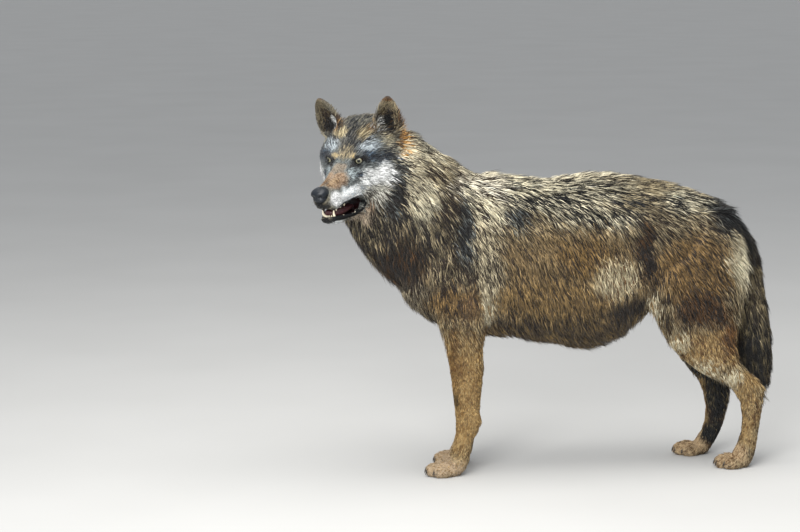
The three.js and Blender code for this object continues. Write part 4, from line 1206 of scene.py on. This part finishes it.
def copied(node, voxel, smoothing, swell=0.0):
    """A solid's mesh swelled, remeshed whole and smoothed, as vertices and triangles."""
    vertices, triangles = solid_arrays(node)
    vertices = vertices + swell * vertex_normals(vertices, triangles)
    rough = faces_object(node + "_rough", vertices, triangles)
    fine = finished(node + "_fine", rough, ("REMESH", {"mode": "VOXEL", "voxel_size": voxel}))
    vertices, triangles = arrays_of(fine.data)
    bpy.data.objects.remove(fine)
    return relaxed(vertices, edges_of(triangles), smoothing, COPY_PULL, COPY_RELEASE), triangles


def make_nose():
    """The nose pad: a nostril and its side slit sunk into each half, and a groove down the middle."""
    vertices, triangles = copied("nose", NOSE_VOXEL, NOSE_SMOOTHING, NOSE_SWELL)
    for at, reach, height in NOSTRILS + [PHILTRUM]:
        vertices = brushed(vertices, triangles, {"one": (at, reach, height)})
    piece = faces_object("nose_pad", vertices, triangles)
    place_piece(piece, "nose", nose_material(), "nose")


TONGUE_LIFT = 17  # millimetres that the tongue's front arches up from the floor of the mouth
TONGUE_REACH = 10  # millimetres that its tip is drawn forwards
TONGUE_SPREAD = 0.2  # share by which its front is widened
TONGUE_FROM, TONGUE_TO = -10, 55  # where its front begins to lift, and does so fully
TONGUE_FLOOR, TONGUE_TALL = -121, 11  # level of its underside, and its height
TONGUE_GROOVE = ((0, 60, -98), (3, 60, 9), -1.6)


def make_tongue():
    """The tongue with its front arched up and drawn forwards, and a groove along its middle."""
    vertices, triangles = copied("tongue", TONGUE_VOXEL, TONGUE_SMOOTHING)
    head = head_places(vertices)
    front = smooth_step(head[:, 1], TONGUE_FROM, TONGUE_TO)
    lift = TONGUE_LIFT * front * np.clip((head[:, 2] - TONGUE_FLOOR) / TONGUE_TALL, 0, 1)
    spread = TONGUE_SPREAD * front * head[:, 0]
    moves = lift[:, None] * UP + spread[:, None] * LEFT + TONGUE_REACH * front[:, None] ** 2 * FORWARD
    vertices = vertices + moves * MM
    vertices = brushed(vertices, triangles, {"groove": TONGUE_GROOVE})
    piece = faces_object("tongue_flesh", vertices, triangles)
    place_piece(piece, "tongue", tongue_material(), "tongue")


# Middle lines of the lips' edges: left, forward, up.
UPPER_LIP_PATH = [
    (40, -17, -105), (42, -8, -95), (41, 8, -84), (37.5, 30, -81), (34, 50, -81.5),
    (30, 70, -82), (28.5, 90, -82.5), (22, 106, -82), (11, 113, -80), (0, 116, -78),
]
LOWER_LIP_PATH = [
    (38.5, -17, -107), (37.5, -8, -116), (35, 4, -122), (31, 22, -124), (27, 46, -120.5),
    (23, 70, -116), (19, 92, -110.5), (13, 107, -109), (5, 112, -108.5), (0, 113, -108.5),
]
LIPS = {  # line, half width, half height, height of the waves along it, drop in front
    "lip_upper": (UPPER_LIP_PATH, 1.2, 1.3, 0.0, 0.0),
    "lip_lower": (LOWER_LIP_PATH, 2.6, 3.4, 0.7, 2.4),
}
LIP_POINTS, LIP_COLUMNS, LIP_WAVES, LIP_TONE = 120, 12, 34, 0.55
LIP_TAPER, LIP_END = 0.05, 0.25  # the share of a lip that tapers, and how thick its end is
LIP_WAVED, LIP_FALLING = (0.25, 0.5), (0.35, 0.75)  # where waves start and the drop ends


def both_sides(path):
    """A path on the left side carried on over the middle to the right."""
    path = np.array(path, float)
    return np.concatenate([path, path[-2::-1] * [-1, 1, 1]])


def make_lips():
    """A soft black cord along each lip, tapered at its ends. The lower one is waved a little at the sides
    and hangs lower in front."""
    across = np.linspace(-1, 1, LIP_POINTS)
    end = np.clip((1 - np.abs(across)) / LIP_TAPER, LIP_END, 1)
    for name, (line, wide, high, wave, fall) in LIPS.items():
        path = smooth_path(both_sides(line), LIP_POINTS)
        path[:, 2] += wave * np.sin(across * LIP_WAVES) * smooth_step(np.abs(across), *LIP_WAVED)
        drop = fall * (1 - smooth_step(np.abs(across), *LIP_FALLING))
        path[:, 2] -= drop
        rings = cord_rings(path, wide * end, (high + drop) * end, LIP_COLUMNS)
        piece = lofts_object(name, [closed_loft(from_head(rings))])
        points = arrays_of(piece.data)[0]
        paint(piece, "tint", np.tile(colour(BLACK) * LIP_TONE, (len(points), 1)))
        measure(piece, "wet", np.ones(len(points)))
        place_piece(piece, "nose", skin_material())


TOOTH_END, TOOTH_RINGS, TOOTH_COLUMNS, TOOTH_FLAT = 0.97, 9, 10, 0.85


def tooth(root, tip, thick, bow=0.0):
    """Rings of a pointed tooth: radius thick (1 - s^1.7)^0.8, its axis bowed forwards by bow."""
    s = np.linspace(0, TOOTH_END, TOOTH_RINGS)
    path = np.asarray(root) + s[:, None] * (np.asarray(tip, float) - root)
    path[:, 1] += bow * 4 * s * (1 - s)
    radius = thick * (1 - s ** 1.7) ** 0.8
    return closed_loft(from_head(cord_rings(
        path, radius * TOOTH_FLAT, radius, TOOTH_COLUMNS, (0, 1, 0.01))))


# Teeth of the left side as root, tip (left, forward, up), thickness and bow.
LOWER_CANINE = ((14, 97, -110), (15.5, 99, -88), 3.8, 2.2)
UPPER_CANINE = ((17.5, 92, -84), (18, 91, -96), 3.6, 1.5)
INCISOR_STEP, INCISOR_CURVE, UPPER_SPREAD = 3.7, 0.05, 1.15
LOWER_INCISOR = ((106, -109), (107, -101.5), 1.9)  # root and tip (forward, up) in the middle, thickness
UPPER_INCISOR = ((108, -78), (109, -84), 2.1)
CHEEK_TEETH, CHEEK_FIRST, CHEEK_STEP, CHEEK_OUT = 5, 82, 15, 19
CHEEK_THICK, CHEEK_GROWTH = 2.5, 0.5


def make_teeth():
    """Canines, six incisors and five cheek teeth a side in each jaw, the upper ones behind the lip."""
    lower, upper = [], []
    for row, (root, tip, thick, bow) in ((lower, LOWER_CANINE), (upper, UPPER_CANINE)):
        row.extend(tooth(np.multiply(root, (side, 1, 1)), np.multiply(tip, (side, 1, 1)), thick, bow)
                   for side in (1, -1))
    for k in range(-3, 3):
        across = (k + 0.5) * INCISOR_STEP
        back = INCISOR_CURVE * across ** 2
        for row, out, (root, tip, thick) in (
            (lower, across, LOWER_INCISOR), (upper, across * UPPER_SPREAD, UPPER_INCISOR),
        ):
            row.append(tooth((out, root[0] - back, root[1]), (out, tip[0] - back, tip[1]), thick))
    for side in (1, -1):
        for k in range(CHEEK_TEETH):
            ahead, thick = CHEEK_FIRST - CHEEK_STEP * k, CHEEK_THICK + CHEEK_GROWTH * k
            out = side * (CHEEK_OUT + 2 * k)
            low, high = read_off(LOWER_LIP, ahead), read_off(UPPER_LIP, ahead)
            lower.append(tooth((out, ahead, low - 3), (out, ahead, low + 1), thick))
            out, ahead = out + 2 * side, ahead - 5
            upper.append(tooth((out, ahead, high + 8), (out, ahead, high + 1), thick))
    for name, teeth in (("teeth_lower", lower), ("teeth_upper", upper)):
        place_piece(lofts_object(name, teeth), "claw", tooth_material())


WHISKERS = 16  # on each side
WHISKER_ROOTS = ((22, 27), (66, 112), (-80, -58))  # ranges of left, forward and up
WHISKER_LIES = ((0.5, 0.9), (-0.8, -0.2), (-0.3, 0.1))
WHISKER_LENGTHS, WHISKER_HALF, WHISKER_DROOP = (20, 44), 0.22, (0, -6, -8)


def make_whiskers(rng):
    """Long thin bristles from the whisker pads: straight at the root, drooping with the square of s."""
    lofts = []
    for side in (1, -1):
        for _ in range(WHISKERS):
            root = [rng.uniform(*span) for span in WHISKER_ROOTS] * np.array([side, 1, 1])
            lie = unit([rng.uniform(*span) for span in WHISKER_LIES] * np.array([side, 1, 1]))
            length = rng.uniform(*WHISKER_LENGTHS)
            s = np.linspace(0, 1, 6)[:, None]
            path = root + lie * length * s + np.array(WHISKER_DROOP) * s ** 2
            radius = WHISKER_HALF * (1 - 0.85 * s[:, 0])
            lofts.append(closed_loft(from_head(cord_rings(path, radius, radius, 4))))
    piece = lofts_object("whiskers", lofts)
    points = arrays_of(piece.data)[0]
    paint(piece, "tint", np.tile(colour(SOOT) * 0.5, (len(points), 1)))
    place_piece(piece, "fur", plain_hair_material())


# ---- claws -----------------------------------------------------------------------------------------

CLAW_AHEAD, CLAW_DOWN = 0.581, 0.814  # the way a claw points: forwards and down
CLAW_ROOT, CLAW_TIP, CLAW_BOW = 11 * MM, 7 * MM, 3.2 * MM  # behind and ahead of the solid's middle
CLAW_POINT, CLAW_THICK, CLAW_FLAT = 0.4, 3.2, 0.75
CLAW_RINGS = CLAW_COLUMNS = 12


def make_claws(limb):
    """The four claws of a paw: an ellipse narrowing along a bowed path out of each toe."""
    nodes = [f"claw_{limb}_{toe}" for toe in ("inner", "second", "third", "outer")]
    point = np.array([0, -CLAW_AHEAD, -CLAW_DOWN])
    rise = np.array([0, -CLAW_DOWN, CLAW_AHEAD])
    s = np.linspace(0, 1, CLAW_RINGS)[:, None]
    lofts = []
    for node in nodes:
        middle = middle_of(node)
        root, tip = middle - CLAW_ROOT * point, middle + CLAW_TIP * point
        path = root + s * (tip - root) + rise * CLAW_BOW * 4 * s * (1 - s)
        radius = MM * (CLAW_POINT + CLAW_THICK * (1 - s[:, 0] ** 1.5))
        lofts.append(closed_loft(cord_rings(path, radius * CLAW_FLAT, radius, CLAW_COLUMNS, rise)))
    place_piece(lofts_object(f"claws_{limb}", lofts), "claw", claw_material(), *nodes)


# ---- materials -------------------------------------------------------------------------------------

def material(name, **sockets):
    """A new material whose shader has the given constant sockets, with its tree and its shader."""
    made = bpy.data.materials.new(name)
    made.use_nodes = True
    shader = made.node_tree.nodes["Principled BSDF"]
    for key, value in sockets.items():
        shader.inputs[key.replace("_", " ")].default_value = value
    return made, made.node_tree, shader


def add_node(tree, kind, inputs=None, **settings):
    """A node with its settings, whose inputs are linked to sockets or set to values."""
    made = tree.nodes.new(kind)
    for key, value in settings.items():
        setattr(made, key, value)
    for key, value in (inputs or {}).items():
        if isinstance(value, bpy.types.NodeSocket):
            tree.links.new(value, made.inputs[key])
        else:
            made.inputs[key].default_value = value
    return made


def attribute_of(tree, name, output="Fac"):
    return add_node(tree, "ShaderNodeAttribute", attribute_name=name).outputs[output]


def object_places(tree):
    return add_node(tree, "ShaderNodeTexCoord").outputs["Object"]


def noise_of(tree, places, scale, **sockets):
    inputs = {"Vector": places, "Scale": scale, **sockets}
    return add_node(tree, "ShaderNodeTexNoise", inputs).outputs["Fac"]


def ranged(tree, value, low, high, start=0.0, stop=1.0):
    """A value carried over from the range start to stop onto the range low to high."""
    return add_node(tree, "ShaderNodeMapRange", {
        "Value": value, "From Min": start, "From Max": stop, "To Min": low, "To Max": high,
    }).outputs["Result"]


def lightened(tree, tone, factor):
    """A colour multiplied by a factor."""
    multiplied = add_node(tree, "ShaderNodeVectorMath", {0: tone, 1: factor}, operation="MULTIPLY")
    return multiplied.outputs["Vector"]


def raised(tree, height, strength, distance):
    """Normals of a surface that a height roughens."""
    inputs = {"Height": height, "Strength": strength, "Distance": distance}
    return add_node(tree, "ShaderNodeBump", inputs).outputs["Normal"]


def wire(tree, shader, **sockets):
    """Links sockets to the shader's inputs."""
    for key, value in sockets.items():
        tree.links.new(value, shader.inputs[key.replace("_", " ")])


def coat_material():
    """Hair: the locks' own tint, streaked along each lock by stretched noise, with a soft sheen."""
    made, tree, shader = material("wolf hair", Roughness=0.62, Specular_IOR_Level=0.28,
                                  Sheen_Weight=0.12, Sheen_Roughness=0.45)
    strands = add_node(tree, "ShaderNodeUVMap", uv_map="Strands").outputs["UV"]
    squeezed = add_node(tree, "ShaderNodeMapping", {"Vector": strands, "Scale": (2.6, 0.06, 1)})
    streak = noise_of(tree, squeezed.outputs["Vector"], 1.0, Detail=3.0, Roughness=0.7)
    lightness = ranged(tree, streak, 0.62, 1.35, 0.25, 0.75)
    wire(tree, shader, Base_Color=lightened(tree, attribute_of(tree, "tint", "Color"), lightness),
         Normal=raised(tree, streak, 0.35, 0.0006))
    return made


@cache
def skin_material():
    """Short underfur with the coat's own marks, mottled and roughened by fine noise. Where the
    attribute wet is 1 it is the smooth moist skin of lips and lids."""
    made, tree, shader = material("wolf skin", Specular_IOR_Level=0.3)
    wet = attribute_of(tree, "wet")
    grain = noise_of(tree, object_places(tree), 700.0, Detail=3.0)
    lightness = ranged(tree, grain, 0.6, 1.1, 0.3, 0.7)
    wire(tree, shader, Base_Color=lightened(tree, attribute_of(tree, "tint", "Color"), lightness),
         Roughness=ranged(tree, wet, 0.85, 0.40),
         Normal=raised(tree, grain, ranged(tree, wet, 0.5, 0.12), 0.001))
    return made


def patterned(name, dark, pale, texture, scale, height, depth, **sockets):
    """A material whose colour runs between two tones by a texture that also raises its surface."""
    made, tree, shader = material(name, **sockets)
    pattern = add_node(tree, texture, {"Vector": object_places(tree), "Scale": scale})
    value = pattern.outputs["Distance" if texture == "ShaderNodeTexVoronoi" else "Fac"]
    tone = add_node(tree, "ShaderNodeValToRGB", {"Fac": value})
    for element, shade in zip(tone.color_ramp.elements, (dark, pale)):
        element.color = (*colour(shade), 1)
    wire(tree, shader, Base_Color=tone.outputs["Color"], Normal=raised(tree, value, height, depth))
    return made


def nose_material():
    """Black pebbled leather, moist."""
    return patterned("nose leather", 0x05070A, 0x121A24, "ShaderNodeTexVoronoi", 900.0, 0.5, 0.0006,
                     Roughness=0.34, Specular_IOR_Level=0.4)


def tongue_material():
    """Dark red wet flesh."""
    return patterned("tongue flesh", 0x241014, 0x4A2226, "ShaderNodeTexNoise", 500.0, 0.4, 0.0008,
                     Roughness=0.35, Specular_IOR_Level=0.5, Subsurface_Weight=0.1)


@cache
def tooth_material():
    """Ivory enamel, faintly mottled."""
    return patterned("tooth enamel", 0xC9BC9A, 0xEFE8D6, "ShaderNodeTexNoise", 120.0, 0.08, 0.0004,
                     Roughness=0.22, Specular_IOR_Level=0.5)


@cache
def claw_material():
    """Dark brown horn."""
    return patterned("claw horn", 0x1C1A18, 0x4A423A, "ShaderNodeTexNoise", 260.0, 0.25, 0.0005,
                     Roughness=0.38, Specular_IOR_Level=0.5)


def plain_hair_material():
    """Bristles: the tint attribute broken by fine noise."""
    made, tree, shader = material("wolf bristle", Roughness=0.45, Specular_IOR_Level=0.4)
    lightness = ranged(tree, noise_of(tree, object_places(tree), 400.0), 0.6, 1.5)
    wire(tree, shader, Base_Color=lightened(tree, attribute_of(tree, "tint", "Color"), lightness))
    return made


IRIS_RINGS = [  # angle from the line of sight in degrees, colour
    (0, 0x020202), (PUPIL_ANGLE - 1, 0x030303), (PUPIL_ANGLE + 1, 0x26241F), (19, 0x605E4E),
    (27, 0x88866F), (33, 0x625F4E), (IRIS_ANGLE, 0x1C1710), (43, 0x120E0A), (60, 0x2A201A),
]


@cache
def eye_material():
    """The eyeball by angle from the line of sight: pupil, pale iris with spokes, dark rim, brown
    white."""
    made, tree, shader = material("eye", Roughness=0.08, Specular_IOR_Level=0.25, Coat_Weight=0.1,
                                  Coat_Roughness=0.03)
    fibre = noise_of(tree, attribute_of(tree, "spokes", "Vector"), 28.0, Detail=2.0)
    shift = ranged(tree, fibre, -0.03, 0.03)
    moved = add_node(tree, "ShaderNodeMath", {0: attribute_of(tree, "sight"), 1: shift},
                     operation="ADD")
    rings = add_node(tree, "ShaderNodeValToRGB", {"Fac": moved.outputs["Value"]})
    ramp = rings.color_ramp
    while len(ramp.elements) < len(IRIS_RINGS):
        ramp.elements.new(0.5)
    for element, (angle, _) in zip(ramp.elements, IRIS_RINGS):
        element.position = angle / RIGHT_ANGLE
    for element, (_, tone) in zip(ramp.elements, IRIS_RINGS):
        element.color = (*colour(tone), 1)
    wire(tree, shader, Base_Color=lightened(tree, rings.outputs["Color"],
                                            ranged(tree, fibre, 0.75, 1.2, 0.3, 0.7)))
    return made


LINING = 0x24090C  # the mouth's inside
LINING_HALF, LINING_FRONT = 28, 112  # left and forward of its edge
LINING_FADE_SIDE, LINING_FADE_FRONT = 6, 12
DARK_TONE, LINING_TONE = 0.4, 0.6
MOTTLE, MOTTLE_SIZE, MOTTLE_SEED = 0.45, 2.2, 12
UNDERFUR = 0.7  # the underfur's lightness beside the coat's
OPEN_LIGHT, COVERED_SHADE, COVERED_BY = 1.15, 0.65, (6, 22)  # lighter where the skin is open; painted shade where the coat's length covers it, for the coat's shadow on the skin
RIM = (1.2, 1.5)  # from how far off the eye's slit on the skin is no longer black


def paint_skin(skin):
    """The skin's tint: the coat's colours darkened, with painted shade where the coat covers it, black
    where bare and dark red in the mouth.
    """
    vertices, _ = arrays_of(skin.data)
    head = head_places(vertices)
    left, forward = np.abs(head[:, 0]), head[:, 1]
    wild = 0.5 + MOTTLE * noise(vertices / MM, MOTTLE_SIZE, MOTTLE_SEED)
    tint = colours_at(vertices, wild) * UNDERFUR
    # painted shade: the skin grows darker the longer the coat over it, as in the coat's shadow; pale skin
    # less so
    coat_shade = smooth_step(coat_at(vertices)[1], *COVERED_BY)[:, None]
    tint *= OPEN_LIGHT - COVERED_SHADE * coat_shade * (1 - tint)
    mouth, nose = mouth_share(head), nose_share(head)
    deep = (smooth_step(LINING_HALF - left, 0, LINING_FADE_SIDE)
            * smooth_step(LINING_FRONT - forward, 0, LINING_FADE_FRONT))
    edge = colour(BLACK) * DARK_TONE
    lining = edge + deep[:, None] * (colour(LINING) * LINING_TONE - edge)
    tint += mouth[:, None] * (lining - tint)
    black = np.maximum(nose, 1 - smooth_step(near_eye(head), *RIM))
    tint += black[:, None] * (colour(BLACK) * LINING_TONE - tint)
    paint(skin, "tint", tint)
    measure(skin, "wet", np.maximum(mouth, black))


# ---- camera, floor and light -----------------------------------------------------------------------

CAMERA_AT = (5817.25, -1130.76, 1338.61)  # body millimetres
CAMERA_YAW, CAMERA_PITCH, CAMERA_ROLL = (math.radians(angle) for angle in (83.567, 7.980, -0.6138))
CAMERA_LENS = 107.7
SENSOR = 36


def make_camera():
    """The camera, from its place, the way it looks and its roll."""
    ahead = np.array([
        -math.sin(CAMERA_YAW) * math.cos(CAMERA_PITCH),
        math.cos(CAMERA_YAW) * math.cos(CAMERA_PITCH),
        -math.sin(CAMERA_PITCH),
    ])
    right = unit(np.cross(ahead, [0, 0, 1]))
    above = np.cross(right, ahead)
    right, above = (right * math.cos(CAMERA_ROLL) + above * math.sin(CAMERA_ROLL),
                    above * math.cos(CAMERA_ROLL) - right * math.sin(CAMERA_ROLL))
    data = bpy.data.cameras.new("camera")
    data.lens, data.sensor_width, data.clip_end = CAMERA_LENS, SENSOR, 200
    made = bpy.data.objects.new("camera", data)
    turn = Matrix(np.stack([right, above, -ahead], axis=1).tolist()).to_4x4()
    made.matrix_world = Matrix.Translation(Vector(from_body(CAMERA_AT))) @ turn
    bpy.context.scene.collection.objects.link(made)
    bpy.context.scene.camera = made


FLOOR_RADIUS, FLOOR_POINTS = 60, 96  # metres, and points on its rim


def make_floor():
    """A wide flat disc: radius times (cos a, sin a)."""
    angles = np.linspace(0, 2 * np.pi, FLOOR_POINTS, endpoint=False)
    rim = FLOOR_RADIUS * np.stack([np.cos(angles), np.sin(angles), 0 * angles], axis=1)
    floor = mesh_object("floor", rim, np.arange(FLOOR_POINTS), [FLOOR_POINTS], smooth=False)
    finish, tree, shader = material("studio floor", Base_Color=(0.45, 0.45, 0.44, 1), Roughness=0.9)
    tone = add_node(tree, "ShaderNodeValToRGB", {"Fac": noise_of(tree, object_places(tree), 1.5)})
    tone.color_ramp.elements[0].color = (0.43, 0.43, 0.42, 1)
    tone.color_ramp.elements[1].color = (0.48, 0.48, 0.47, 1)
    wire(tree, shader, Base_Color=tone.outputs["Color"])
    floor.data.materials.append(finish)


LIGHTS_AIM = (0, 0, 0.4)


def make_light(name, at, size, watts, tone):
    """A soft round light that looks at the middle of the wolf."""
    data = bpy.data.lights.new(name, "AREA")
    data.shape, data.size, data.energy, data.color = "DISK", size, watts, tone
    made = bpy.data.objects.new(name, data)
    made.location = at
    made.rotation_euler = (Vector(LIGHTS_AIM) - Vector(at)).to_track_quat("-Z", "Y").to_euler()
    bpy.context.scene.collection.objects.link(made)


def make_studio():
    """The floor, a large light above, a smaller one in front, and a pale sky."""
    make_floor()
    make_light("sky", (0.8, -0.2, 4.2), 4.0, 190, (1.0, 0.98, 0.95))
    make_light("front", (3.2, -1.3, 1.9), 2.0, 156, (1.0, 0.99, 0.97))
    world = bpy.data.worlds.new("studio")
    world.use_nodes = True
    world.node_tree.nodes["Background"].inputs["Color"].default_value = (0.84, 0.86, 0.89, 1)
    world.node_tree.nodes["Background"].inputs["Strength"].default_value = 0.75
    bpy.context.scene.world = world
    bpy.context.scene.view_settings.view_transform = "Standard"


# ---- the wolf --------------------------------------------------------------------------------------

def head_tree(skin):
    """A search tree of the skin's triangles near the eyes."""
    vertices, triangles = arrays_of(skin.data)
    near = np.linalg.norm(head_places(vertices[triangles].mean(1)), axis=1) < 90
    used, index = np.unique(triangles[near], return_inverse=True)
    return BVHTree.FromPolygons(vertices[used].tolist(), index.reshape(-1, 3).tolist())


make_camera()
make_studio()
skin = make_skin()
skin.data.shade_smooth()
paint_skin(skin)
place_piece(skin, "fur", skin_material(), *FLESH)
eye_tree = head_tree(skin)
for side in (1, -1):
    make_eyeball(side)
lids = [make_lids(side, eye_tree) for side in (1, -1)]
make_nose()
make_tongue()
make_lips()
make_teeth()
make_whiskers(np.random.default_rng(SEED + 1))
for limb in ("foreleg_left", "foreleg_right", "hindleg_left", "hindleg_right"):
    make_claws(limb)
hair = coat_material()
for piece in make_coat(skin, lids):
    place_piece(piece, "fur", hair)
